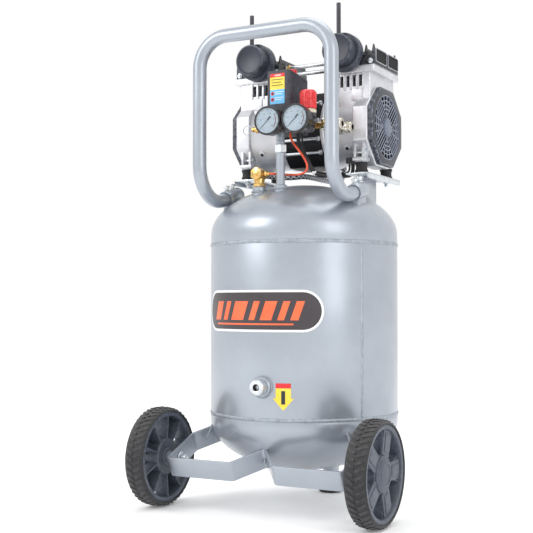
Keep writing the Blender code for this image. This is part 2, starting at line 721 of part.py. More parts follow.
def make_cylinder_head(name, side):
    span_y = (PUMP_Y - FLANGE_HALF_Y + 0.002, PUMP_Y + FLANGE_HALF_Y - 0.002)
    base = side_box("cylinder_head_" + name, side, FLANGE_X, span_y,
                    (FLANGE_TOP_Z + GAP, HEAD_TOP_Z))
    width = FLANGE_X[1] - FLANGE_X[0]
    pitch = (width - FIN_THICKNESS) / (FIN_COUNT - 1)
    for number in range(FIN_COUNT):
        start = FLANGE_X[0] + 0.0005 + pitch * number * 0.985
        join(base, side_box("fin_%s_%d" % (name, number), side,
                            (start, start + FIN_THICKNESS),
                            (span_y[0] + 0.003, span_y[1] - 0.003),
                            (HEAD_TOP_Z - 0.003, FIN_TOP_Z)))
    finish(base, BLACK_METAL)


def make_fan(name, side):
    start = HOUSING_INNER_X + HOUSING_WALL + 0.002
    end = COVER_OUTER_X - COVER_THICKNESS - 0.003
    hub = rod("fan_" + name, 0.016, (side * start, PUMP_Y, PUMP_Z), (side * end, PUMP_Y, PUMP_Z), 24)
    centre = place(side * (start + end) / 2, PUMP_Y, PUMP_Z)
    for number in range(FAN_BLADES):
        work = bmesh.new()
        bmesh.ops.create_cube(work, size=1.0)
        bmesh.ops.scale(work, vec=(0.0022, 0.026, FAN_RADIUS - 0.010), verts=work.verts)
        bmesh.ops.rotate(work, verts=work.verts, cent=(0, 0, 0),
                         matrix=Matrix.Rotation(math.radians(38), 3, "Z"))
        bmesh.ops.translate(work, vec=(0, 0, (FAN_RADIUS + 0.010) / 2), verts=work.verts)
        blade_name = "blade_%s_%d" % (name, number)
        around = Matrix.Rotation(math.tau * number / FAN_BLADES, 4, "X")
        join(hub, add(blade_name, mesh_from(blade_name, work), centre, around))
    cut(hub, rod("fan_bore_" + name, SHAFT_RADIUS + GAP, (side * (start - 0.01), PUMP_Y, PUMP_Z),
                 (side * (end + 0.01), PUMP_Y, PUMP_Z), 20))
    finish(hub, BLACK_PLASTIC)


def make_fan_cover(name, side):
    inner = COVER_OUTER_X - COVER_THICKNESS
    cover = octagon_prism("fan_cover_" + name, COVER_SIZE, COVER_CHAMFER, side,
                          (inner, COVER_OUTER_X))
    join(cover, rod("cover_hub_" + name, 0.019, (side * (inner + 0.001), PUMP_Y, PUMP_Z),
                    (side * (COVER_OUTER_X + 0.003), PUMP_Y, PUMP_Z), 28))
    centre = place(side * (inner + COVER_OUTER_X) / 2, PUMP_Y, PUMP_Z)
    reaches = (0.046, 0.050, 0.046, 0.036)
    for quarter in range(4):
        around = Matrix.Rotation(math.pi / 2 * quarter + math.radians(20), 4, "X")
        for number, reach in enumerate(reaches):
            work = bmesh.new()
            bmesh.ops.create_cube(work, size=1.0)
            bmesh.ops.scale(work, vec=(COVER_THICKNESS * 3, 0.0065, reach - 0.014),
                            verts=work.verts)
            bmesh.ops.translate(work, vec=(0, 0.006 + 0.0125 * number, reach / 2 + 0.014),
                                verts=work.verts)
            slot_name = "slot_%s_%d_%d" % (name, quarter, number)
            cut(cover, add(slot_name, mesh_from(slot_name, work), centre, around))
    finish(cover, BLACK_PLASTIC)


def make_filter(name, side):
    """Intake drum and its cap on the front of a head, with the intake pipe standing on it."""
    back = PUMP_Y - FLANGE_HALF_Y - GAP
    step = back - DRUM_LENGTH
    front = step - CAP_LENGTH
    x = side * FILTER_X
    profile = [(0.0, 0.0), (DRUM_RADIUS - 0.003, 0.0), (DRUM_RADIUS, -0.004),
               (DRUM_RADIUS, -DRUM_LENGTH + 0.003), (DRUM_RADIUS - 0.003, -DRUM_LENGTH),
               (CAP_RADIUS, -DRUM_LENGTH), (CAP_RADIUS, front - back + 0.002),
               (CAP_RADIUS - 0.002, front - back), (0.0, front - back)]
    drum = turned("filter_" + name, profile, place(x, back, FILTER_Z), "Y", 24)
    pipe_y = step - CAP_LENGTH / 2
    join(drum, rod("intake_pipe_" + name, INTAKE_RADIUS, (x, pipe_y, FILTER_Z + CAP_RADIUS - 0.006),
                   (x, pipe_y, INTAKE_TOP_Z), 10))
    finish(drum, SLATE_PLASTIC)


def make_transfer():
    """Two pipes between the heads, brazed to one flange at each end."""
    inner = FLANGE_X[0] - GAP
    y = PUMP_Y - 0.030
    height = (FLANGE_TOP_Z + 0.004, HEAD_TOP_Z - 0.003)
    flange = 0.004
    left = box("transfer_pipes", (-inner, y - 0.009, FLANGE_TOP_Z + 0.001),
               (-inner + flange, y + 0.009, HEAD_TOP_Z))
    join(left, box("transfer_flange", (inner - flange, y - 0.009, FLANGE_TOP_Z + 0.001),
                   (inner, y + 0.009, HEAD_TOP_Z)))
    for number, z in enumerate(height):
        join(left, rod("transfer_pipe_%d" % number, 0.0038, (-inner + 0.002, y, z),
                       (inner - 0.002, y, z), 14))
    finish(left, STEEL)


# ---- motor mounts -------------------------------------------------------
def make_mounts(name, side):
    low = PLATE_TOP_Z - PLATE_THICKNESS
    span_y = (PUMP_Y - MOUNT_HALF_Y - PLATE_OVERHANG, PUMP_Y + MOUNT_HALF_Y + PLATE_OVERHANG)
    plate = side_box("mount_plate_" + name, side, PLATE_X, span_y, (low, PLATE_TOP_Z))
    join(plate, side_box("plate_lip_" + name, side, (PLATE_X[1] - PLATE_THICKNESS, PLATE_X[1]),
                         span_y, (low - 0.008, low + 0.001)))
    finish(plate, ZINC)

    leg_y = (PUMP_Y - 0.034, PUMP_Y + 0.030)
    leg_x = PLATE_X[0] + 0.012
    leg = side_box("mount_leg_" + name, side, (leg_x, leg_x + 0.004), leg_y,
                   (SEAM_HIGH_Z + TOP_FLANGE, low - GAP))
    join(leg, side_box("leg_flange_" + name, side, (leg_x + 0.003, leg_x + 0.024), leg_y,
                       (low - GAP - 0.004, low - GAP)))
    trim(leg, envelope)
    finish(leg, SILVER_PAINT)

    for end_name, end in (("front", -1), ("rear", 1)):
        half = MOUNT_HEIGHT / 2
        waist = 0.0012
        profile = [(0.0, half), (MOUNT_RADIUS, half), (MOUNT_RADIUS - waist, half - 0.005),
                   (MOUNT_RADIUS - waist, -half + 0.005), (MOUNT_RADIUS, -half), (0.0, -half)]
        where = place(side * MOUNT_X, PUMP_Y + end * MOUNT_HALF_Y, PLATE_TOP_Z + GAP + half)
        finish(turned("rubber_mount_%s_%s" % (end_name, name), profile, where, "Z", 16), RUBBER)


# ---- pressure switch, regulator, gauges and outlets ---------------------
def make_riser():
    pipe = rod("riser_pipe", RISER_RADIUS, (0, RISER_Y, dome_height(abs(RISER_Y)) - 0.02),
               (0, RISER_Y, BASE_Z[0] - GAP), 20)
    join(pipe, rod("riser_boss", RISER_RADIUS * 1.5, (0, RISER_Y, dome_height(abs(RISER_Y)) - 0.02),
                   (0, RISER_Y, dome_height(abs(RISER_Y)) + 0.008), 20))
    join(pipe, rod("riser_nut", RISER_RADIUS * 1.45, (0, RISER_Y, BASE_Z[0] - 0.038),
                   (0, RISER_Y, BASE_Z[0] - 0.022), 6))
    trim(pipe, envelope)
    finish(pipe, SILVER_PAINT)


def make_switch():
    base = box("switch_base", (BASE_X[0], BASE_Y[0], BASE_Z[0]), (BASE_X[1], BASE_Y[1], BASE_Z[1]))
    finish(base, BLACK_METAL)

    low = BASE_Z[1] + GAP
    inset = 0.001
    depth = BASE_Y[1] - BASE_Y[0]
    cover = box("switch_cover", (BASE_X[0] + inset, BASE_Y[0], low), (BASE_X[1], BASE_Y[1], SWITCH_TOP_Z))
    cut(cover, box("cover_space", (BASE_X[0] + inset + SWITCH_WALL, BASE_Y[0] + SWITCH_WALL, low - 0.01),
                   (BASE_X[1] - SWITCH_WALL, BASE_Y[1] - SWITCH_WALL,
                    SWITCH_TOP_Z - SWITCH_DROP - SWITCH_WALL - 0.006)))
    slope = math.atan2(SWITCH_DROP, depth)
    wedge = box("cover_slope", (-0.1, BASE_Y[0], SWITCH_TOP_Z), (0.1, BASE_Y[1] + 0.02, SWITCH_TOP_Z + 0.03))
    hinge = Matrix.Translation(place(0, BASE_Y[0], SWITCH_TOP_Z))
    wedge.matrix_world = hinge @ Matrix.Rotation(-slope, 4, "X") @ hinge.inverted() @ wedge.matrix_world
    cut(cover, wedge)
    knob_x = BASE_X[1] - 0.018
    knob_y = BASE_Y[1] - 0.030
    top_z = SWITCH_TOP_Z - SWITCH_DROP * (knob_y - BASE_Y[0]) / depth
    cut(cover, rod("knob_hole", 0.003 + GAP, (knob_x, knob_y, low),
                   (knob_x, knob_y, SWITCH_TOP_Z + 0.01), 14))
    finish(cover, BLACK_PLASTIC)

    stand = 0.0018
    profile = [(0.0, stand + 0.012), (KNOB_RADIUS - 0.001, stand + 0.012), (KNOB_RADIUS, stand + 0.010),
               (KNOB_RADIUS, stand), (0.003, stand), (0.003, -0.022), (0.0, -0.022)]
    finish(turned("switch_knob", profile, place(knob_x, knob_y, top_z), "Z", 18), RED_PLASTIC)


def make_regulator():
    low = BASE_Z[0] - 0.003
    high = REGULATOR_KNOB_Z[0] - GAP
    body = turned("regulator_body",
                  [(0.0, high), (REGULATOR_RADIUS - 0.002, high), (REGULATOR_RADIUS, high - 0.004),
                   (REGULATOR_RADIUS, low + 0.010), (REGULATOR_RADIUS - 0.005, low), (0.0, low)],
                  place(REGULATOR_X, REGULATOR_Y, 0), "Z", 24)
    join(body, rod("regulator_nipple", 0.006, (BASE_X[1] + GAP, REGULATOR_Y, GAUGE_Z),
                   (REGULATOR_X, REGULATOR_Y, GAUGE_Z), 6))
    finish(body, BLACK_METAL)
    height = REGULATOR_KNOB_Z[1] - REGULATOR_KNOB_Z[0]
    profile = [(0.0, height), (REGULATOR_KNOB_RADIUS - 0.003, height),
               (REGULATOR_KNOB_RADIUS - 0.0005, height - 0.003), (REGULATOR_KNOB_RADIUS, 0.0),
               (0.0, 0.0)]
    finish(turned("regulator_knob", profile,
                  place(REGULATOR_X, REGULATOR_Y, REGULATOR_KNOB_Z[0]), "Z", 24), RED_PLASTIC)


def make_gauge(name, x, stem_end_y):
    """Case, bezel and stem; the dial lies a little behind the bezel's edge."""
    recess = 0.0025
    profile = [(0.0, -recess), (GAUGE_RADIUS - 0.003, -recess), (GAUGE_RADIUS - 0.0025, 0.0),
               (GAUGE_RADIUS, -0.001), (GAUGE_RADIUS, -0.006), (GAUGE_RADIUS - 0.0015, -0.007),
               (GAUGE_RADIUS - 0.0015, -GAUGE_DEPTH + 0.004), (GAUGE_RADIUS - 0.006, -GAUGE_DEPTH),
               (0.0, -GAUGE_DEPTH)]
    case = turned("gauge_" + name, profile, place(x, GAUGE_FACE_Y, GAUGE_Z), "-Y", 24)
    join(case, rod("gauge_stem_" + name, GAUGE_STEM, (x, GAUGE_FACE_Y + GAUGE_DEPTH - 0.002, GAUGE_Z),
                   (x, stem_end_y, GAUGE_Z), 6))
    finish(case, DIAL_METAL)

    length = GAUGE_RADIUS * 0.70
    tail = GAUGE_RADIUS * 0.36
    blade = [(-0.0003, length), (-0.0006, 0.0), (-0.0011, -tail), (0.0011, -tail),
             (0.0006, 0.0), (0.0003, length)]
    lift = recess - 0.0009
    lower_left = Matrix.Rotation(math.radians(-135), 4, "Y")
    flat = Matrix.Rotation(math.pi / 2, 4, "X")
    needle = extruded("needle_" + name, blade, 0.0006, place(x, GAUGE_FACE_Y + lift, GAUGE_Z),
                      lower_left @ flat)
    join(needle, rod("needle_hub_" + name, 0.0020, (x, GAUGE_FACE_Y + lift - 0.0006, GAUGE_Z),
                     (x, GAUGE_FACE_Y + lift + 0.0006, GAUGE_Z), 12))
    finish(needle, BLACK_METAL)


def make_outlets():
    body = box("outlet_manifold", (OUTLET_X[0], COUPLER_Y[0] - 0.012, OUTLET_Z - OUTLET_HALF),
               (OUTLET_X[1], COUPLER_Y[1] + 0.012, OUTLET_Z + OUTLET_HALF))
    join(body, rod("outlet_nipple", 0.006, (REGULATOR_X + REGULATOR_RADIUS + GAP, REGULATOR_Y, OUTLET_Z),
                   (OUTLET_X[0] + 0.002, REGULATOR_Y, OUTLET_Z), 6))
    for name, y in zip(("front", "rear"), COUPLER_Y):
        join(body, rod("coupler_body_" + name, COUPLER_RADIUS, (OUTLET_X[1] - 0.001, y, OUTLET_Z),
                       (COUPLER_END_X, y, OUTLET_Z), 20))
        cut(body, rod("coupler_mouth_" + name, 0.0052, (COUPLER_END_X - 0.016, y, OUTLET_Z),
                      (COUPLER_END_X + 0.01, y, OUTLET_Z), 16))
        end = COUPLER_END_X - 0.001
        where = place(end - SLEEVE_LENGTH, y, OUTLET_Z)
        inner = COUPLER_RADIUS + GAP
        profile = [(inner, SLEEVE_LENGTH), (SLEEVE_RADIUS - 0.001, SLEEVE_LENGTH),
                   (SLEEVE_RADIUS, SLEEVE_LENGTH - 0.002), (SLEEVE_RADIUS - 0.001, 0.005),
                   (SLEEVE_RADIUS, 0.001), (SLEEVE_RADIUS - 0.001, 0.0), (inner, 0.0)]
        finish(turned("coupler_sleeve_" + name, profile, where, "X", 16, closed=True), NICKEL)
    finish(body, NICKEL)


def make_valves():
    start = -BASE_X[0] + GAP
    tip = start + SAFETY_LENGTH
    ring_start = tip + 0.0005
    profile = [(0.0, tip), (0.0045, tip), (0.0045, tip - 0.008), (0.0070, tip - 0.008),
               (0.0075, tip - 0.023), (0.0055, tip - 0.025), (0.0055, start), (0.0, start)]
    finish(turned("safety_valve", profile, place(0, SAFETY_Y, SAFETY_Z), "-X", 20), BRASS)
    ring_x = -(ring_start + 0.0015)
    ring = turned("safety_ring", [(0.0075, 0.0009), (0.0093, 0.0009), (0.0093, -0.0009),
                                  (0.0075, -0.0009)],
                  place(ring_x - 0.0085, SAFETY_Y, SAFETY_Z), "Y", 20, closed=True)
    join(ring, rod("ring_stem", 0.0016, (-ring_start, SAFETY_Y, SAFETY_Z),
                   (ring_x - 0.0002, SAFETY_Y, SAFETY_Z), 10))
    finish(ring, STEEL)

    boss_z = dome_height(math.hypot(CHECK_X, CHECK_Y))
    valve = rod("check_valve", 0.010, (CHECK_X, CHECK_Y, boss_z + 0.006),
                (CHECK_X, CHECK_Y, CHECK_Z + 0.004), 20)
    join(valve, rod("check_boss", 0.0125, (CHECK_X, CHECK_Y, boss_z - 0.016),
                    (CHECK_X, CHECK_Y, boss_z + 0.010), 20))
    join(valve, rod("check_cap", 0.0125, (CHECK_X, CHECK_Y - 0.014, CHECK_Z),
                    (CHECK_X, CHECK_Y + 0.011, CHECK_Z), 6))
    join(valve, rod("check_side", 0.0035, (CHECK_X, CHECK_Y, CHECK_Z),
                    (CHECK_X + 0.022, CHECK_Y, CHECK_Z), 12))
    trim(valve, envelope)
    finish(valve, BRASS)

    crown_z = SEAM_LOW_Z - LOW_FLANGE - HEAD_DEPTH
    drain = [(0.0, crown_z + 0.008), (0.005, crown_z + 0.008), (0.005, crown_z - GAP - 0.001),
             (0.010, crown_z - GAP - 0.001), (0.010, crown_z - 0.012), (0.006, crown_z - 0.014),
             (0.006, crown_z - 0.020), (0.0, crown_z - 0.020)]
    finish(turned("drain_valve", drain, place(0, 0, 0), "Z", 18), BRASS)
    wing_top = crown_z - 0.020 - GAP
    wing = rod("drain_handle", 0.005, (0, 0, wing_top - 0.010), (0, 0, wing_top), 16)
    join(wing, box("drain_wing", (-0.014, -0.0015, wing_top - 0.009), (0.014, 0.0015, wing_top - 0.002)))
    finish(wing, BRASS)


# ---- hose, tube and leads, each held at both ends -----------------------
def make_lines():
    check = CHECK_Z - CROWN_Z
    port = FLANGE_TOP_Z + 0.0105 - CROWN_Z
    behind = PUMP_Y + STATOR_SIZE / 2 + 0.020
    entry = PUMP_Y + FLANGE_HALF_Y - 0.022
    hose = [(CHECK_X, CHECK_Y + 0.011 + GAP, check), (CHECK_X, -0.074, check),
            (CHECK_X + 0.007, -0.061, check - 0.001), (-0.018, -0.053, 0.012),
            (0.002, -0.046, 0.012), (0.013, -0.025, 0.015), (0.015, 0.010, 0.016),
            (0.015, 0.056, 0.016), (0.015, 0.100, 0.018), (0.016, behind - 0.010, 0.026),
            (0.018, behind, 0.050), (0.020, behind, 0.090), (0.020, behind, 0.140),
            (0.020, behind, port - 0.040), (0.021, behind - 0.008, port - 0.014),
            (0.027, entry + 0.012, port - 0.001), (0.037, entry, port),
            (FLANGE_X[0] - GAP, entry, port)]
    finish(tube("delivery_hose", smooth_route(hose, 0.014), HOSE_RADIUS, 2), BRAID)

    base = BASE_Z[0] - GAP - CROWN_Z
    line = [(CHECK_X + 0.022 + GAP, CHECK_Y, check), (-0.017, CHECK_Y, check),
            (-0.009, -0.085, 0.0145), (0.0, -0.079, 0.014), (0.012, -0.076, 0.013),
            (0.030, -0.076, 0.013), (0.043, -0.077, 0.018), (0.046, -0.079, 0.029),
            (0.040, -0.081, 0.043), (0.030, -0.082, 0.057), (0.020, -0.083, 0.070),
            (0.015, -0.083, 0.080), (0.014, -0.083, base)]
    finish(tube("unloader_tube", smooth_route(line, 0.010), UNLOADER_RADIUS, 2), ORANGE_TUBE)

    case_low = PUMP_Z - CASE_SIZE / 2 - GAP - CROWN_Z
    leads = [(0.020, -0.062, base), (0.020, -0.062, 0.077), (0.026, -0.064, 0.059),
             (0.037, -0.065, 0.041), (0.046, -0.064, 0.026), (0.052, -0.060, 0.016),
             (0.064, -0.050, 0.011), (0.078, -0.034, 0.011), (0.086, -0.012, 0.013),
             (0.089, 0.010, 0.016), (0.090, 0.022, 0.022), (0.090, 0.026, 0.031),
             (0.090, 0.026, case_low)]
    finish(tube("motor_leads", smooth_route(leads, 0.012), LEADS_RADIUS, 2), BLACK_PLASTIC)


# ---- assembly -----------------------------------------------------------
make_tank()
make_bracket()
make_rear_leg()
make_handle()
make_motor()
make_transfer()
make_riser()
make_switch()
make_regulator()
make_gauge("left", 0.0, BASE_Y[0] - GAP)
make_gauge("right", REGULATOR_X, REGULATOR_Y - REGULATOR_RADIUS - GAP)
make_outlets()
make_valves()
make_lines()
for side_name, side_sign in SIDES:
    make_wheel(side_name, side_sign)
    make_mounts(side_name, side_sign)
    make_crankcase(side_name, side_sign)
    make_piston(side_name, side_sign)
    make_cylinder_head(side_name, side_sign)
    make_fan(side_name, side_sign)
    make_fan_cover(side_name, side_sign)
    make_filter(side_name, side_sign)
bpy.context.view_layer.update()
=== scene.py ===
import math

import bmesh
import bpy
from mathutils import Matrix, Vector


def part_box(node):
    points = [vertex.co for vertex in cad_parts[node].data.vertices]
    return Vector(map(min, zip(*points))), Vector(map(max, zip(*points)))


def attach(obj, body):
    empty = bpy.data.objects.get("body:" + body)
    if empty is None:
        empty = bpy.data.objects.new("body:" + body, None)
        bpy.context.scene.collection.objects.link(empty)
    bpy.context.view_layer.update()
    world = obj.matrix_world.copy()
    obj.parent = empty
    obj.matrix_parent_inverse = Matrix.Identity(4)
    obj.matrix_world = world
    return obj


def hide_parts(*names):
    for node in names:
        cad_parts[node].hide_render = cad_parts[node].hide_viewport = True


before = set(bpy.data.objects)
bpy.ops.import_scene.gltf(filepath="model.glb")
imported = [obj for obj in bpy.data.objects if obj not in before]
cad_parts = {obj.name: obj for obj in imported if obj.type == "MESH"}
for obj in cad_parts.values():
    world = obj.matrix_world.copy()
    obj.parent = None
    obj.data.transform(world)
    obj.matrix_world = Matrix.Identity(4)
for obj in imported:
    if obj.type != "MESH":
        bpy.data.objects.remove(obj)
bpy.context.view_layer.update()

# Every place here is measured from the tank axis; backShift moves it along Y into the frame.
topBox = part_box("tank_top_head")
backShift = (topBox[0][1] + topBox[1][1]) / 2
tankRadius = (topBox[1][0] - topBox[0][0]) / 2
pumpY = 0.056
pumpZ = 0.699
sides = (("left", -1), ("right", 1))
home = "compressor"


# sRGB hex to linear RGBA.
def rgb(text):
    values = [int(text[k:k + 2], 16) / 255 for k in (1, 3, 5)]
    return tuple(v / 12.92 if v < 0.04045 else ((v + 0.055) / 1.055) ** 2.4 for v in values) + (1.0,)


def ramp(tree, source, stops):
    node = tree.nodes.new("ShaderNodeValToRGB")
    tree.links.new(source, node.inputs["Fac"])
    marks = node.color_ramp.elements
    while len(marks) < len(stops):
        marks.new(0.5)
    for mark, (place, color) in zip(marks, stops):
        mark.position = place
        mark.color = color
    return node.outputs["Color"]


def gray(value):
    return (value, value, value, 1.0)


# Noise whose features are about perMm millimetres across.
def noise(tree, where, perMm, detail=4.0, rough=0.55):
    node = tree.nodes.new("ShaderNodeTexNoise")
    node.inputs["Scale"].default_value = 1000.0 / perMm
    node.inputs["Detail"].default_value = detail
    node.inputs["Roughness"].default_value = rough
    tree.links.new(where, node.inputs["Vector"])
    return node.outputs["Fac"]


def blendColor(tree, fac, first, second, mode="MIX"):
    node = tree.nodes.new("ShaderNodeMix")
    node.data_type = "RGBA"
    node.blend_type = mode
    for socket, value in ((node.inputs[0], fac), (node.inputs[6], first), (node.inputs[7], second)):
        if isinstance(value, (float, int, tuple)):
            socket.default_value = value
        else:
            tree.links.new(value, socket)
    return node.outputs[2]


def maths(tree, kind, first, second=0.0, third=0.0):
    node = tree.nodes.new("ShaderNodeMath")
    node.operation = kind
    for socket, value in zip(node.inputs, (first, second, third)):
        if isinstance(value, (float, int)):
            socket.default_value = value
        else:
            tree.links.new(value, socket)
    return node.outputs[0]


def addBump(tree, shader, height, strength, distance):
    relief = tree.nodes.new("ShaderNodeBump")
    relief.inputs["Strength"].default_value = strength
    relief.inputs["Distance"].default_value = distance
    tree.links.new(height, relief.inputs["Height"])
    tree.links.new(relief.outputs["Normal"], shader.inputs["Normal"])


# A Principled finish: colour drift, uneven gloss, surface grain, lighter edges (wear, and on some looks a
# painted highlight) and dust.
def makeLook(name, base, rough, metal=0.0, shade=None, patch=40.0, roughSpread=0.08, grain=0.5,
             bump=0.15, fine=None, coat=0.0, coatRough=0.1, edge=None, edgeWearAndHighlight=0.0, dust=0.0,
             flakes=0.0, brush=None, sheen=0.0, spec=0.5, blotch=0.1):
    made = bpy.data.materials.new(name)
    made.use_nodes = True
    tree = made.node_tree
    shader = tree.nodes["Principled BSDF"]
    where = tree.nodes.new("ShaderNodeTexCoord").outputs["Object"]
    drift = noise(tree, where, patch)
    low = rgb(base)
    high = rgb(shade) if shade else tuple(min(1.0, c * 1.18 + 0.004) for c in low[:3]) + (1.0,)
    color = ramp(tree, drift, [(0.32, low), (0.68, high)])
    mottle = noise(tree, where, patch / 9, 6.0, 0.65)
    color = blendColor(tree, blotch, color, ramp(tree, mottle, [(0.35, gray(0.35)), (0.65, gray(0.75))]),
                       "OVERLAY")
    gloss = ramp(tree, mottle, [(0.3, gray(max(0.02, rough - roughSpread))),
                                (0.7, gray(min(1.0, rough + roughSpread)))])
    grains = noise(tree, where, grain, 3.0, 0.6)
    if brush:
        stretch = tree.nodes.new("ShaderNodeMapping")
        stretch.inputs["Scale"].default_value = brush
        tree.links.new(where, stretch.inputs["Vector"])
        grains = noise(tree, stretch.outputs["Vector"], grain, 3.0, 0.6)
    height = grains
    if fine:
        peel = noise(tree, where, fine, 1.0, 0.4)
        height = maths(tree, "ADD", maths(tree, "MULTIPLY", peel, 1.4), grains)
    if flakes:
        spots = tree.nodes.new("ShaderNodeTexVoronoi")
        spots.inputs["Scale"].default_value = 1000.0 / 0.35
        tree.links.new(where, spots.inputs["Vector"])
        pick = tree.nodes.new("ShaderNodeSeparateColor")
        tree.links.new(spots.outputs["Color"], pick.inputs["Color"])
        color = blendColor(tree, flakes, color, ramp(tree, pick.outputs[0],
                           [(0.0, gray(0.3)), (0.75, gray(0.52)), (1.0, gray(0.95))]), "OVERLAY")
    # Lighter colour on convex edges: wear on most looks; on the navy guard and the black head it is a painted
    # highlight.
    if edge:
        shape = tree.nodes.new("ShaderNodeNewGeometry")
        wornAndLitEdges = ramp(tree, shape.outputs["Pointiness"], [(0.505, gray(0.0)), (0.56, gray(1.0))])
        broken = ramp(tree, noise(tree, where, 6.0, 5.0, 0.7), [(0.42, gray(0.0)), (0.6, gray(1.0))])
        both = maths(tree, "MULTIPLY", maths(tree, "MULTIPLY", wornAndLitEdges, broken), edgeWearAndHighlight)
        color = blendColor(tree, both, color, rgb(edge))
    if dust:
        shape = tree.nodes.new("ShaderNodeNewGeometry")
        split = tree.nodes.new("ShaderNodeSeparateXYZ")
        tree.links.new(shape.outputs["Normal"], split.inputs["Vector"])
        up = maths(tree, "MULTIPLY", maths(tree, "MAXIMUM", split.outputs[2], 0.0), dust)
        cover = maths(tree, "MULTIPLY", up, ramp(tree, mottle, [(0.3, gray(0.2)), (0.7, gray(1.0))]))
        color = blendColor(tree, cover, color, rgb("#8E8A84"))
    addBump(tree, shader, height, bump, 0.0002)
    tree.links.new(color, shader.inputs["Base Color"])
    tree.links.new(gloss, shader.inputs["Roughness"])
    shader.inputs["Metallic"].default_value = metal
    shader.inputs["Coat Weight"].default_value = coat
    shader.inputs["Coat Roughness"].default_value = coatRough
    shader.inputs["Sheen Weight"].default_value = sheen
    if metal < 0.5:
        shader.inputs["Specular IOR Level"].default_value = spec
    made.diffuse_color = low
    return made


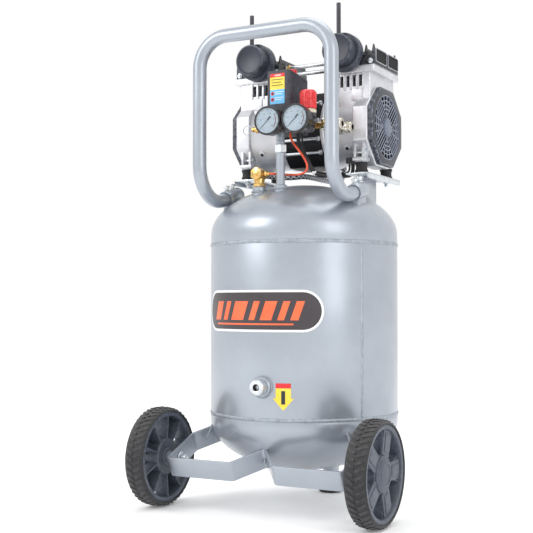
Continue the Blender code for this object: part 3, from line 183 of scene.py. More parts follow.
looks = {
    "silver": makeLook("silverPaint", "#9DA4AE", 0.34, 0.55, "#AAB1BA", 120, 0.03, 0.4, 0.02, 2.2,
                       0.3, 0.16, flakes=0.07, blotch=0.03),
    "weld": makeLook("weldBead", "#8F969F", 0.38, 0.6, "#A7AEB6", 10, 0.1, 0.5, 0.3, 1.2, 0.2, 0.2),
    "cast": makeLook("castAluminium", "#C9CACE", 0.42, 0.72, "#DADADF", 45, 0.08, 0.45, 0.28, 1.1,
                     0.0, 0.1, "#F0F1F4", 0.5, 0.05),
    "zinc": makeLook("zincPlate", "#C9D0D6", 0.33, 0.85, "#DDE3E6", 14, 0.08, 0.3, 0.12, None,
                     0.0, 0.1, "#F4F6F8", 0.4),
    "steel": makeLook("brightSteel", "#B9BBBF", 0.26, 1.0, "#CCCED2", 20, 0.06, 0.25, 0.12, None,
                      brush=(1.0, 1.0, 12.0)),
    "brass": makeLook("brassBody", "#D0A050", 0.27, 0.95, "#E8C27A", 12, 0.07, 0.3, 0.1, None,
                      0.0, 0.1, "#F6DFA8", 0.5),
    "nickel": makeLook("paleNickel", "#C4BEB0", 0.2, 0.97, "#DAD4C6", 10, 0.05, 0.25, 0.08, None,
                       0.0, 0.1, "#F3F0E8", 0.4),
    "plastic": makeLook("charcoalPlastic", "#2A2A31", 0.46, 0.0, "#35353D", 30, 0.07, 0.35, 0.16, 0.9,
                        0.0, 0.1, "#6C6E78", 0.35, 0.06),
    # The guard's light edge colour (#9AA0B0, strength 0.75) is a painted highlight along its edges.
    "navy": makeLook("guardPlastic", "#1B1E26", 0.34, 0.0, "#252934", 35, 0.07, 0.35, 0.12, 0.9,
                     0.0, 0.1, "#9AA0B0", 0.75, 0.0),
    # A slightly lighter copy of the guard plastic for the frame's front face: painted reflection.
    "guardFaceReflection": makeLook("guardFaceReflection", "#1F232C", 0.3, 0.0, "#2A2F3A", 30, 0.06, 0.35, 0.1, 0.9),
    # Light grey for the grille bars: a painted highlight on the near-black guard plastic.
    "guard": makeLook("guardBarsHighlight", "#7A8092", 0.32, 0.0, "#9096A6", 20, 0.06, 0.35, 0.1, 0.9),
    "hub": makeLook("hubPlastic", "#616979", 0.42, 0.0, "#6C7484", 12, 0.06, 0.35, 0.14, 0.9),
    "slate": makeLook("slatePlastic", "#3A404C", 0.45, 0.0, "#454C59", 30, 0.08, 0.4, 0.16, 0.9,
                      0.0, 0.1, "#6A7280", 0.35, 0.08),
    "drum": makeLook("drumPlastic", "#262A36", 0.36, 0.0, "#303543", 25, 0.06, 0.35, 0.1, 0.9,
                     0.0, 0.1, "#6C7486", 0.35, 0.0),
    "black": makeLook("blackMetal", "#1D1D22", 0.38, 0.25, "#28282E", 20, 0.08, 0.4, 0.2, 1.0,
                      0.0, 0.1, "#83858C", 0.45, 0.05),
    # The head's light edge colour (#8A8D96) is a painted highlight along its fin and frame edges.
    "head": makeLook("headBlack", "#131418", 0.34, 0.25, "#1D1E23", 25, 0.08, 0.4, 0.2, 1.0,
                     0.0, 0.1, "#8A8D96", 0.35, 0.0),
    # Pale metal for the thin frames on the head's end: a painted highlight along their edges.
    "headEdgeHighlight": makeLook("paintedEdgeHighlight", "#9A9DA4", 0.32, 0.85, "#B9BCC2", 8, 0.06, 0.3, 0.12),
    "rubber": makeLook("softRubber", "#17171A", 0.66, 0.0, "#212125", 12, 0.1, 0.5, 0.25, 1.2,
                       sheen=0.05, dust=0.04),
    "tyre": makeLook("tyreRubber", "#19191C", 0.66, 0.0, "#26262A", 18, 0.12, 0.5, 0.32, 1.4,
                     sheen=0.15, dust=0.14, edge="#4A4A4E", edgeWearAndHighlight=0.5),
    "red": makeLook("redPlastic", "#DE1C24", 0.28, 0.0, "#F03038", 12, 0.05, 0.4, 0.08, 0.9,
                    0.4, 0.12, "#FF8A84", 0.3),
    "cream": makeLook("creamPlastic", "#D9D0B8", 0.42, 0.0, "#E6DFCB", 9, 0.06, 0.4, 0.1, 0.9),
    "orange": makeLook("orangeTube", "#E0451E", 0.24, 0.0, "#F06434", 16, 0.05, 0.5, 0.06, None,
                       0.5, 0.08),
    "lead": makeLook("leadSleeve", "#1B1B1E", 0.5, 0.0, "#26262B", 10, 0.08, 0.4, 0.2, 0.9),
    # Near-black for holes, recesses and gaps: painted shade.
    "dark": makeLook("paintedRecessShade", "#0C0C0F", 0.8, 0.0, "#131317", 10, 0.05, 0.5, 0.2),
    # Near-black for the inside of the coupler mouths: painted shade.
    "mouth": makeLook("couplerMouthShade", "#170D0B", 0.45, 0.2, "#24120E", 6, 0.08, 0.4, 0.2),
    "case": makeLook("gaugeCase", "#141417", 0.3, 0.2, "#1E1E22", 14, 0.06, 0.35, 0.1, 0.9,
                     0.2, 0.1, "#5C5E66", 0.4),
    "dial": makeLook("dialFace", "#D5E3F0", 0.55, 0.0, "#E2EDF6", 12, 0.04, 0.4, 0.04),
    "ink": makeLook("dialInk", "#22242A", 0.5, 0.0, "#2C2E35", 8, 0.05, 0.3, 0.04),
    "arc": makeLook("dialArc", "#9A2430", 0.5, 0.0, "#AA3440", 8, 0.05, 0.3, 0.04),
    "labelDark": makeLook("labelField", "#383236", 0.36, 0.0, "#403A3E", 60, 0.05, 0.5, 0.04, None,
                          0.15, 0.2),
    "labelWhite": makeLook("labelBorder", "#E9EAEC", 0.36, 0.0, "#F4F4F6", 60, 0.05, 0.5, 0.04),
    "labelOrange": makeLook("labelMark", "#F0633B", 0.36, 0.0, "#F47448", 60, 0.05, 0.5, 0.04),
    "tagRed": makeLook("tagRed", "#D8232B", 0.38, 0.0, "#E2333A", 20, 0.05, 0.4, 0.04),
    "tagYellow": makeLook("tagYellow", "#F2D23C", 0.38, 0.0, "#F7DC5A", 20, 0.05, 0.4, 0.04),
    "tagBlue": makeLook("tagBlue", "#57AEE2", 0.38, 0.0, "#6FBEEA", 20, 0.05, 0.4, 0.04),
    "needleHub": makeLook("needleHub", "#9FB4C8", 0.4, 0.0, "#B4C6D6", 6, 0.05, 0.4, 0.04),
    "tagPale": makeLook("tagPale", "#F0B8B4", 0.38, 0.0, "#F4C8C4", 8, 0.05, 0.4, 0.04),
}


# Woven steel wires: two crossing sets of diagonal ridges on the tube's own UVs.
def braidLook():
    made = makeLook("steelBraid", "#8E9198", 0.34, 0.8, "#B6B9C0", 6, 0.1, 0.4, 0.1)
    tree = made.node_tree
    shader = tree.nodes["Principled BSDF"]
    uv = tree.nodes.new("ShaderNodeUVMap")
    split = tree.nodes.new("ShaderNodeSeparateXYZ")
    tree.links.new(uv.outputs["UV"], split.inputs["Vector"])
    along = maths(tree, "MULTIPLY", split.outputs[0], 2 * math.pi / 0.009)
    around = maths(tree, "MULTIPLY", split.outputs[1], 2 * math.pi * 4)
    first = maths(tree, "SINE", maths(tree, "ADD", along, around))
    second = maths(tree, "SINE", maths(tree, "SUBTRACT", along, around))
    weave = maths(tree, "MAXIMUM", first, second)
    wires = maths(tree, "SINE", maths(tree, "MULTIPLY", maths(tree, "ADD", along, around), 4.0))
    height = maths(tree, "ADD", weave, maths(tree, "MULTIPLY", wires, 0.25))
    addBump(tree, shader, height, 0.9, 0.0004)
    # The colour follows the weave: darker in the hollows between the wires, which is painted shade.
    tree.links.new(ramp(tree, weave, [(0.2, rgb("#3A3C42")), (0.8, rgb("#B9BCC3"))]),
                   shader.inputs["Base Color"])
    return made


# Black lacquered laminations: fine rings across the motor shaft.
def stackLook():
    made = makeLook("laminatedStack", "#18181C", 0.42, 0.35, "#26262B", 16, 0.1, 0.4, 0.15)
    tree = made.node_tree
    shader = tree.nodes["Principled BSDF"]
    where = tree.nodes.new("ShaderNodeTexCoord").outputs["Object"]
    split = tree.nodes.new("ShaderNodeSeparateXYZ")
    tree.links.new(where, split.inputs["Vector"])
    rings = maths(tree, "SINE", maths(tree, "MULTIPLY", split.outputs[0], 2 * math.pi / 0.0011))
    addBump(tree, shader, rings, 0.7, 0.0003)
    return made


def glassLook():
    made = bpy.data.materials.new("gaugeGlass")
    made.use_nodes = True
    tree = made.node_tree
    shader = tree.nodes["Principled BSDF"]
    where = tree.nodes.new("ShaderNodeTexCoord").outputs["Object"]
    shader.inputs["Base Color"].default_value = rgb("#F4F8FA")
    shader.inputs["Transmission Weight"].default_value = 1.0
    shader.inputs["IOR"].default_value = 1.45
    tree.links.new(ramp(tree, noise(tree, where, 4.0), [(0.3, gray(0.01)), (0.7, gray(0.06))]),
                   shader.inputs["Roughness"])
    return made


looks["braid"] = braidLook()
looks["stack"] = stackLook()
looks["glass"] = glassLook()
print("looks ready")


turns = {"X": Matrix.Rotation(math.pi / 2, 4, "Y"), "-X": Matrix.Rotation(-math.pi / 2, 4, "Y"),
         "Y": Matrix.Rotation(-math.pi / 2, 4, "X"), "-Y": Matrix.Rotation(math.pi / 2, 4, "X"),
         "Z": Matrix.Identity(4), "-Z": Matrix.Rotation(math.pi, 4, "X")}
turnOut = Matrix(((0, 0, 1, 0), (1, 0, 0, 0), (0, 1, 0, 0), (0, 0, 0, 1)))
turnFront = Matrix(((1, 0, 0, 0), (0, 0, -1, 0), (0, 1, 0, 0), (0, 0, 0, 1)))
# What place() is given for a shape that is drawn at the frame's own origin.
drawnAtOrigin = (0, -backShift, 0)


def place(x, y, z):
    return Vector((x, y + backShift, z))


# Rounds the edges sharper than an angle.
def soften(work, width, steps=2, angle=30.0):
    work.normal_update()
    sharp = [e for e in work.edges if len(e.link_faces) == 2
             and e.calc_face_angle(0.0) > math.radians(angle)]
    if width > 0 and sharp:
        bmesh.ops.bevel(work, geom=sharp, offset=width, segments=steps, affect="EDGES",
                        profile=0.6, clamp_overlap=True)
    return work


# A box between two corners, with rounded edges.
def block(low, high, round=0.0006, steps=2):
    work = bmesh.new()
    bmesh.ops.create_cube(work, size=1.0)
    low, high = place(*low), place(*high)
    bmesh.ops.scale(work, vec=[abs(b - a) for a, b in zip(low, high)], verts=work.verts)
    bmesh.ops.translate(work, vec=(low + high) / 2, verts=work.verts)
    return soften(work, round, steps)


# (radius, height) points spun round an axis; the ends are closed where the radius is 0.
def lathe(profile, where, axis="Z", steps=64, closed=False):
    work = bmesh.new()
    rings = []
    for radius, height in profile:
        if radius < 1e-6:
            rings.append([work.verts.new((0, 0, height))])
        else:
            rings.append([work.verts.new((radius * math.cos(math.tau * k / steps),
                                          radius * math.sin(math.tau * k / steps), height))
                          for k in range(steps)])
    pairs = list(zip(rings, rings[1:]))
    if closed:
        pairs.append((rings[-1], rings[0]))
    for first, second in pairs:
        for k in range(steps):
            n = (k + 1) % steps
            corners = [first[k % len(first)], first[n % len(first)],
                       second[n % len(second)], second[k % len(second)]]
            corners = list(dict.fromkeys(corners))
            if len(corners) > 2:
                work.faces.new(corners)
    bmesh.ops.recalc_face_normals(work, faces=work.faces)
    bmesh.ops.transform(work, matrix=Matrix.Translation(place(*where)) @ turns[axis], verts=work.verts)
    return work


# A round bar between two points, with softened ends.
def pin(radius, start, end, steps=24, round=0.0004, endRadius=None):
    start, end = place(*start), place(*end)
    along = end - start
    work = bmesh.new()
    bmesh.ops.create_cone(work, cap_ends=True, segments=steps, radius1=radius, depth=along.length,
                          radius2=radius if endRadius is None else endRadius)
    soften(work, round, 2, 50 if steps > 8 else 25)
    turn = along.to_track_quat("Z", "Y").to_matrix().to_4x4()
    bmesh.ops.transform(work, matrix=Matrix.Translation((start + end) / 2) @ turn, verts=work.verts)
    return work


# A tube along frame points, with UVs of (length, turn); flat gives (width, height) instead.
def sweep(points, radius, steps=20, flat=None):
    work = bmesh.new()
    layer = work.loops.layers.uv.new("UVMap")
    across = None
    rings = []
    run = 0.0
    runs = []
    for k, point in enumerate(points):
        before = points[max(0, k - 1)]
        after = points[min(len(points) - 1, k + 1)]
        along = (after - before).normalized()
        if across is None:
            guess = Vector((0, 0, 1)) if abs(along.z) < 0.9 else Vector((1, 0, 0))
            across = along.cross(guess).normalized()
        across = (across - along * across.dot(along)).normalized()
        up = along.cross(across)
        if k:
            run += (point - points[k - 1]).length
        runs.append(run)
        if flat:
            offsets = [across * (sx * flat[0] / 2) + up * (sy * flat[1] / 2)
                       for sx, sy in ((-1, -1), (1, -1), (1, 1), (-1, 1))]
        else:
            offsets = [radius * (across * math.cos(math.tau * n / steps)
                                 + up * math.sin(math.tau * n / steps)) for n in range(steps)]
        rings.append([work.verts.new(point + offset) for offset in offsets])
    count = len(rings[0])
    for k in range(len(rings) - 1):
        for n in range(count):
            m = (n + 1) % count
            face = work.faces.new((rings[k][n], rings[k + 1][n], rings[k + 1][m], rings[k][m]))
            marks = ((k, n), (k + 1, n), (k + 1, n + 1), (k, n + 1))
            for loop, (a, b) in zip(face.loops, marks):
                loop[layer].uv = (runs[a], b / count)
    work.faces.new(rings[0])
    work.faces.new(rings[-1][::-1])
    bmesh.ops.recalc_face_normals(work, faces=work.faces)
    return work


# A flat outline between two heights, moved by a matrix.
def prism(outline, low, high, matrix, round=0.0008, steps=2):
    work = bmesh.new()
    base = work.faces.new([work.verts.new((x, y, low)) for x, y in outline])
    grown = bmesh.ops.extrude_face_region(work, geom=[base])
    moved = [v for v in grown["geom"] if isinstance(v, bmesh.types.BMVert)]
    bmesh.ops.translate(work, vec=(0, 0, high - low), verts=moved)
    bmesh.ops.recalc_face_normals(work, faces=work.faces)
    soften(work, round, steps, 20)
    bmesh.ops.transform(work, matrix=matrix, verts=work.verts)
    return work


# Local x, y, z become world +Y, +Z, +X, from a place.
def outward(x=0.0, y=0.0, z=0.0):
    return Matrix.Translation(place(x, y, z)) @ turnOut


# Local x, y, z become world +X, +Z, -Y, from a place.
def frontward(x=0.0, y=0.0, z=0.0):
    return Matrix.Translation(place(x, y, z)) @ turnFront


def octagon(size, chamfer):
    half = size / 2
    near = half - chamfer
    return [(half, -near), (half, near), (near, half), (-near, half),
            (-half, near), (-half, -near), (-near, -half), (near, -half)]


def roundedRect(width, height, radius, steps=5):
    made = []
    for cx, cy, start in ((1, 1, 0), (-1, 1, 90), (-1, -1, 180), (1, -1, 270)):
        for k in range(steps + 1):
            angle = math.radians(start + 90 * k / steps)
            made.append((cx * (width / 2 - radius) + radius * math.cos(angle),
                         cy * (height / 2 - radius) + radius * math.sin(angle)))
    return made


# The same shape on the other side of the machine.
def flipped(work):
    copy = work.copy()
    bmesh.ops.scale(copy, vec=(-1, 1, 1), verts=copy.verts)
    bmesh.ops.reverse_faces(copy, faces=copy.faces)
    return copy


# A hexagon bolt head standing on a face, with a washer under it.
def hexHead(radius, where, axis, height, washerRadius=None):
    made = [lathe([(0.0, height), (radius * 0.8, height), (radius * 0.98, height * 0.86),
                   (radius * 0.98, 0.0), (0.0, 0.0)], where, axis, 6)]
    if washerRadius:
        made.append(lathe([(0.0, height * 0.28), (washerRadius * 0.96, height * 0.28),
                           (washerRadius, height * 0.18), (washerRadius, 0.0), (0.0, 0.0)],
                          where, axis, 28))
    return made


# Adds one mesh block to another.
def merge(whole, work):
    part = bpy.data.meshes.new("part")
    work.to_mesh(part)
    whole.from_mesh(part)
    bpy.data.meshes.remove(part)


def toObject(name, work):
    data = bpy.data.meshes.new(name)
    work.to_mesh(data)
    made = bpy.data.objects.new(name, data)
    bpy.context.scene.collection.objects.link(made)
    return made


# A Boolean with mesh blocks; returns a new block.
def carve(work, cutters, kind="DIFFERENCE"):
    target = toObject("carveTarget", work)
    tools = []
    for number, cutter in enumerate(cutters):
        tool = toObject("carveTool", cutter)
        change = target.modifiers.new("carve%d" % number, "BOOLEAN")
        change.operation = kind
        change.solver = "EXACT"
        change.object = tool
        tools.append(tool)
    bpy.context.view_layer.update()
    made = bmesh.new()
    made.from_mesh(target.evaluated_get(bpy.context.evaluated_depsgraph_get()).to_mesh())
    for item in tools + [target]:
        bpy.data.objects.remove(item, do_unlink=True)
    return made


def newTree(name, sockets):
    tree = bpy.data.node_groups.new(name, "GeometryNodeTree")
    tree.interface.new_socket("Geometry", in_out="INPUT", socket_type="NodeSocketGeometry")
    for label, kind in sockets:
        tree.interface.new_socket(label, in_out="INPUT", socket_type=kind)
    tree.interface.new_socket("Geometry", in_out="OUTPUT", socket_type="NodeSocketGeometry")
    return tree, tree.nodes.new("NodeGroupInput"), tree.nodes.new("NodeGroupOutput")


# Copies on points, each turned and slightly varied in size, made real and given a material.
def closeTree(tree, start, end, points, rotation):
    source = tree.nodes.new("GeometryNodeObjectInfo")
    source.inputs["As Instance"].default_value = True
    copies = tree.nodes.new("GeometryNodeInstanceOnPoints")
    spread = tree.nodes.new("FunctionNodeRandomValue")
    real = tree.nodes.new("GeometryNodeRealizeInstances")
    finish = tree.nodes.new("GeometryNodeSetMaterial")
    tree.links.new(start.outputs["Copy"], source.inputs["Object"])
    tree.links.new(points, copies.inputs["Points"])
    tree.links.new(source.outputs["Geometry"], copies.inputs["Instance"])
    if rotation is not None:
        tree.links.new(rotation, copies.inputs["Rotation"])
    tree.links.new(maths(tree, "SUBTRACT", 1.0, start.outputs["Uneven"]), spread.inputs[2])
    tree.links.new(maths(tree, "ADD", 1.0, start.outputs["Uneven"]), spread.inputs[3])
    tree.links.new(start.outputs["Seed"], spread.inputs["Seed"])
    tree.links.new(spread.outputs[1], copies.inputs["Scale"])
    tree.links.new(copies.outputs["Instances"], real.inputs["Geometry"])
    tree.links.new(real.outputs["Geometry"], finish.inputs["Geometry"])
    tree.links.new(start.outputs["Finish"], finish.inputs["Material"])
    tree.links.new(finish.outputs["Geometry"], end.inputs["Geometry"])


# Copies spaced evenly round Z, over a part of the turn.
def ringTree():
    tree, start, end = newTree("ringOfCopies", [
        ("Copy", "NodeSocketObject"), ("Count", "NodeSocketInt"), ("Radius", "NodeSocketFloat"),
        ("From", "NodeSocketFloat"), ("Sweep", "NodeSocketFloat"), ("Uneven", "NodeSocketFloat"),
        ("Seed", "NodeSocketInt"), ("Finish", "NodeSocketMaterial")])
    line = tree.nodes.new("GeometryNodeMeshLine")
    index = tree.nodes.new("GeometryNodeInputIndex")
    tree.links.new(start.outputs["Count"], line.inputs["Count"])
    share = maths(tree, "DIVIDE", index.outputs[0], start.outputs["Count"])
    angle = maths(tree, "ADD", maths(tree, "MULTIPLY", share, start.outputs["Sweep"]),
                     start.outputs["From"])
    spot = tree.nodes.new("ShaderNodeCombineXYZ")
    for socket, kind in ((0, "COSINE"), (1, "SINE")):
        part = maths(tree, kind, angle, 0.0)
        tree.links.new(maths(tree, "MULTIPLY", part, start.outputs["Radius"]), spot.inputs[socket])
    move = tree.nodes.new("GeometryNodeSetPosition")
    tree.links.new(line.outputs["Mesh"], move.inputs["Geometry"])
    tree.links.new(spot.outputs[0], move.inputs["Position"])
    turn = tree.nodes.new("FunctionNodeAxisAngleToRotation")
    tree.links.new(angle, turn.inputs["Angle"])
    closeTree(tree, start, end, move.outputs["Geometry"], turn.outputs["Rotation"])
    return tree


# Copies in a straight row.
def rowTree():
    tree, start, end = newTree("rowOfCopies", [
        ("Copy", "NodeSocketObject"), ("Count", "NodeSocketInt"), ("Step", "NodeSocketVector"),
        ("Uneven", "NodeSocketFloat"), ("Seed", "NodeSocketInt"), ("Finish", "NodeSocketMaterial")])
    line = tree.nodes.new("GeometryNodeMeshLine")
    tree.links.new(start.outputs["Count"], line.inputs["Count"])
    tree.links.new(start.outputs["Step"], line.inputs["Offset"])
    closeTree(tree, start, end, line.outputs["Mesh"], None)
    return tree


trees = {"ring": ringTree(), "row": rowTree()}


# Runs a tree on one small shape and returns the copies as a mesh block.
def repeated(kind, work, finish, matrix=None, **values):
    source = toObject("repeatSource", work)
    host = bpy.data.objects.new("repeatHost", bpy.data.meshes.new("repeatHost"))
    bpy.context.scene.collection.objects.link(host)
    change = host.modifiers.new("copies", "NODES")
    change.node_group = trees[kind]
    given = {"Copy": source, "Finish": looks[finish], "Uneven": 0.0, "Seed": 1, "From": 0.0,
             "Sweep": math.tau}
    given.update(values)
    for item in trees[kind].interface.items_tree:
        if item.in_out == "INPUT" and item.name in given:
            change[item.identifier] = given[item.name]
    bpy.context.view_layer.update()
    graph = bpy.context.evaluated_depsgraph_get()
    data = bpy.data.meshes.new_from_object(host.evaluated_get(graph))
    made = bmesh.new()
    made.from_mesh(data)
    if matrix is not None:
        bmesh.ops.transform(made, matrix=matrix, verts=made.verts)
    bpy.data.objects.remove(host, do_unlink=True)
    bpy.data.objects.remove(source, do_unlink=True)
    return made


def onAxis(where, axis="Z"):
    return Matrix.Translation(place(*where)) @ turns[axis]


# Joins (mesh block, look) pairs into one object that rides on a body.
def piece(name, body, blocks, nodes=(), sharp=38.0):
    data = bpy.data.meshes.new(name)
    whole = bmesh.new()
    names = []
    for work, look in blocks:
        if look not in names:
            names.append(look)
            data.materials.append(looks[look])
        part = bpy.data.meshes.new("part")
        work.to_mesh(part)
        part.materials.clear()
        before = len(whole.faces)
        whole.from_mesh(part)
        whole.faces.ensure_lookup_table()
        for face in whole.faces[before:]:
            face.material_index = names.index(look)
        bpy.data.meshes.remove(part)
    whole.to_mesh(data)
    whole.free()
    data.shade_smooth()
    data.set_sharp_from_angle(angle=math.radians(sharp))
    made = bpy.data.objects.new(name, data)
    bpy.context.scene.collection.objects.link(made)
    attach(made, body)
    if nodes:
        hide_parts(*nodes)
    return made


# A right-hand piece and its mirror image.
def both(name, blocks, nodesFor, body=None):
    for side, sign in sides:
        made = blocks if sign > 0 else [(flipped(work), look) for work, look in blocks]
        nodes = [node + "_" + side for node in nodesFor]
        piece(name + side.capitalize(), body + "_" + side if body else home, made, nodes)


tankSet = {"low": 0.168, "high": 0.478, "depth": 0.094, "topFlange": 0.019, "lowFlange": 0.012,
           "inset": 0.0009,
           "steps": 160}


def domeHeight(radius):
    rise = tankSet["depth"] * math.sqrt(max(0.0, 1 - (radius / tankRadius) ** 2))
    return tankSet["high"] + tankSet["topFlange"] + rise


# Outside of the whole tank, crown to crown, with a shallow step at each seam.
def tankProfile():
    crown = tankSet["high"] + tankSet["topFlange"]
    base = tankSet["low"] - tankSet["lowFlange"]
    made = []
    for k in range(29):
        angle = math.pi / 2 * (1 - k / 28)
        made.append((tankRadius * math.cos(angle), crown + tankSet["depth"] * math.sin(angle)))
    made[0] = (0.0, crown + tankSet["depth"])
    inset = tankRadius - tankSet["inset"]
    for seam in (tankSet["high"], tankSet["low"]):
        made += [(tankRadius, seam + 0.004), (inset, seam + 0.0015), (inset, seam - 0.0015),
                 (tankRadius, seam - 0.004)]
    for k in range(29):
        angle = math.pi / 2 * k / 28
        made.append((tankRadius * math.cos(angle), base - tankSet["depth"] * math.sin(angle)))
    made[-1] = (0.0, base - tankSet["depth"])
    return made


# A low weld ripple, lying along local Y and standing along local X.
def ridge(width, height, length, matrix):
    work = bmesh.new()
    bmesh.ops.create_icosphere(work, subdivisions=2, radius=1.0)
    bmesh.ops.scale(work, vec=(height, length, width), verts=work.verts)
    bmesh.ops.transform(work, matrix=matrix, verts=work.verts)
    return work


def seamBead(z, seed):
    drop = ridge(0.0036, 0.0017, 0.003, Matrix.Rotation(math.radians(9), 4, "X"))
    return repeated("ring", drop, "weld", onAxis((0, 0, z)), Count=330, Radius=tankRadius - 0.0005,
                    Uneven=0.1, Seed=seed)


# The shell's upright weld, at the back right.
def longSeam():
    angle = math.radians(62)
    drop = ridge(0.0028, 0.0008, 0.0032, Matrix.Rotation(angle - math.pi / 2, 4, "Z"))
    start = Vector((math.sin(angle) * tankRadius, -math.cos(angle) * tankRadius, tankSet["low"] + 0.006))
    return repeated("row", drop, "weld", Matrix.Translation(start + Vector((0, backShift, 0))), Count=110,
                    Step=(0, 0, 0.0027), Uneven=0.12, Seed=5)


# A fillet weld round something that stands on a surface.
def collar(radius, where, axis, size=0.0022, count=40, seed=3):
    drop = ridge(size, size, size * 1.1, Matrix.Rotation(0.4, 4, "Z"))
    return repeated("ring", drop, "weld", onAxis(where, axis), Count=count, Radius=radius, Uneven=0.12,
                    Seed=seed)


plugSet = {"x": 0.006, "z": 0.225, "boss": 0.018, "bossHeight": 0.006, "radius": 0.0135, "length": 0.016}
plugFace = -math.sqrt(tankRadius ** 2 - plugSet["x"] ** 2) - plugSet["bossHeight"]

tankBlocks = [
    (lathe(tankProfile(), (0, 0, 0), "Z", tankSet["steps"]), "silver"),
    (seamBead(tankSet["high"], 1), "weld"),
    (seamBead(tankSet["low"], 2), "weld"),
    (longSeam(), "weld"),
    (lathe([(0.0, 0.0), (plugSet["boss"] - 0.002, 0.0), (plugSet["boss"], -0.002),
            (plugSet["boss"], -0.02), (0.0, -0.02)], (plugSet["x"], plugFace, plugSet["z"]), "-Y", 48),
     "silver"),
    (collar(plugSet["boss"] + 0.0006, (plugSet["x"], plugFace + 0.0065, plugSet["z"]), "-Y", 0.0018, 44),
     "weld"),
]
piece("tankSkin", home, tankBlocks, ("tank_shell", "tank_top_head", "tank_bottom_head"), 42)


def makePlug():
    front = plugFace - 0.0003
    length = plugSet["length"]
    body = lathe([(0.0062, length - 0.007), (0.0062, length - 0.0006), (0.007, length),
                  (plugSet["radius"] - 0.0016, length), (plugSet["radius"], length - 0.0018),
                  (plugSet["radius"], 0.0), (0.0, 0.0), (0.0, length - 0.007)],
                 (plugSet["x"], front, plugSet["z"]), "-Y", 48, closed=True)
    grooves = repeated("ring", block((-0.0006, -0.0005 - backShift, -0.0055),
                                     (0.0006, 0.0005 - backShift, 0.0055),
                                     0.0003), "zinc",
                       onAxis((plugSet["x"], front - length / 2, plugSet["z"]), "-Y"), Count=44,
                       Radius=plugSet["radius"] - 0.0002)
    # The socket is lined with the near-black recess colour: painted shade in the hex hole.
    socket = carve(lathe([(0.0, 0.0), (0.0066, 0.0), (0.0066, -0.0085), (0.0, -0.0085)],
                         (plugSet["x"], front - length + 0.0009, plugSet["z"]), "-Y", 40),
                   [lathe([(0.0, 0.002), (0.0054, 0.002), (0.0054, -0.0075), (0.0, -0.0075)],
                          (plugSet["x"], front - length + 0.0009, plugSet["z"]), "-Y", 6)])
    piece("plugSkin", home, [(body, "zinc"), (grooves, "zinc"), (socket, "dark")], ("inspection_plug",))


makePlug()


# A flat outline of (arc length, height) laid round the tank; 0 is the front.
def wrapped(outline, lift, thick=0.00025):
    radius = tankRadius + lift
    work = bmesh.new()
    work.faces.new([work.verts.new((s, 0.0, z)) for s, z in outline])
    low = min(s for s, _ in outline)
    high = max(s for s, _ in outline)
    for k in range(1, int((high - low) / 0.004) + 1):
        bmesh.ops.bisect_plane(work, geom=work.verts[:] + work.edges[:] + work.faces[:], dist=1e-7,
                               plane_co=(low + 0.004 * k, 0, 0), plane_no=(1, 0, 0))
    grown = bmesh.ops.extrude_face_region(work, geom=work.faces[:])
    for item in grown["geom"]:
        if isinstance(item, bmesh.types.BMVert):
            item.co.y = thick
    for vertex in work.verts:
        s, out, z = vertex.co
        reach = radius - thick + out
        vertex.co = place(reach * math.sin(s / tankRadius), -reach * math.cos(s / tankRadius), z)
    bmesh.ops.recalc_face_normals(work, faces=work.faces)
    return work


def pill(centre, width, height, z, steps=16):
    made = []
    radius = height / 2
    for cx, start in ((width / 2 - radius, -90), (-width / 2 + radius, 90)):
        for k in range(steps + 1):
            angle = math.radians(start + 180 * k / steps)
            made.append((centre + cx + radius * math.cos(angle), z + radius * math.sin(angle)))
    return made


def slanted(start, width, low, high, lean=0.35):
    shift = (high - low) * lean
    return [(start, low), (start + width, low), (start + width + shift, high), (start + shift, high)]


labelSet = {"centre": math.radians(-5.7) * tankRadius, "width": 0.267, "height": 0.073, "z": 0.3565}


def makeLabel():
    centre, width, z = labelSet["centre"], labelSet["width"], labelSet["z"]
    blocks = [
        (wrapped(pill(centre, width, labelSet["height"], z), 0.0003), "labelWhite"),
        (wrapped(pill(centre, width - 0.008, labelSet["height"] - 0.008, z), 0.0005), "labelDark"),
    ]
    low, high = z - 0.016, z + 0.017
    for start, span in ((-0.1, 0.02), (-0.069, 0.012), (-0.046, 0.03), (-0.004, 0.012),
                        (0.019, 0.022), (0.052, 0.012), (0.075, 0.014)):
        blocks.append((wrapped(slanted(centre + start, span, low, high), 0.0007), "labelOrange"))
    blocks.append((wrapped(slanted(centre - 0.092, 0.172, z - 0.0245, z - 0.0215), 0.0007), "labelOrange"))
    piece("frontLabel", home, blocks)


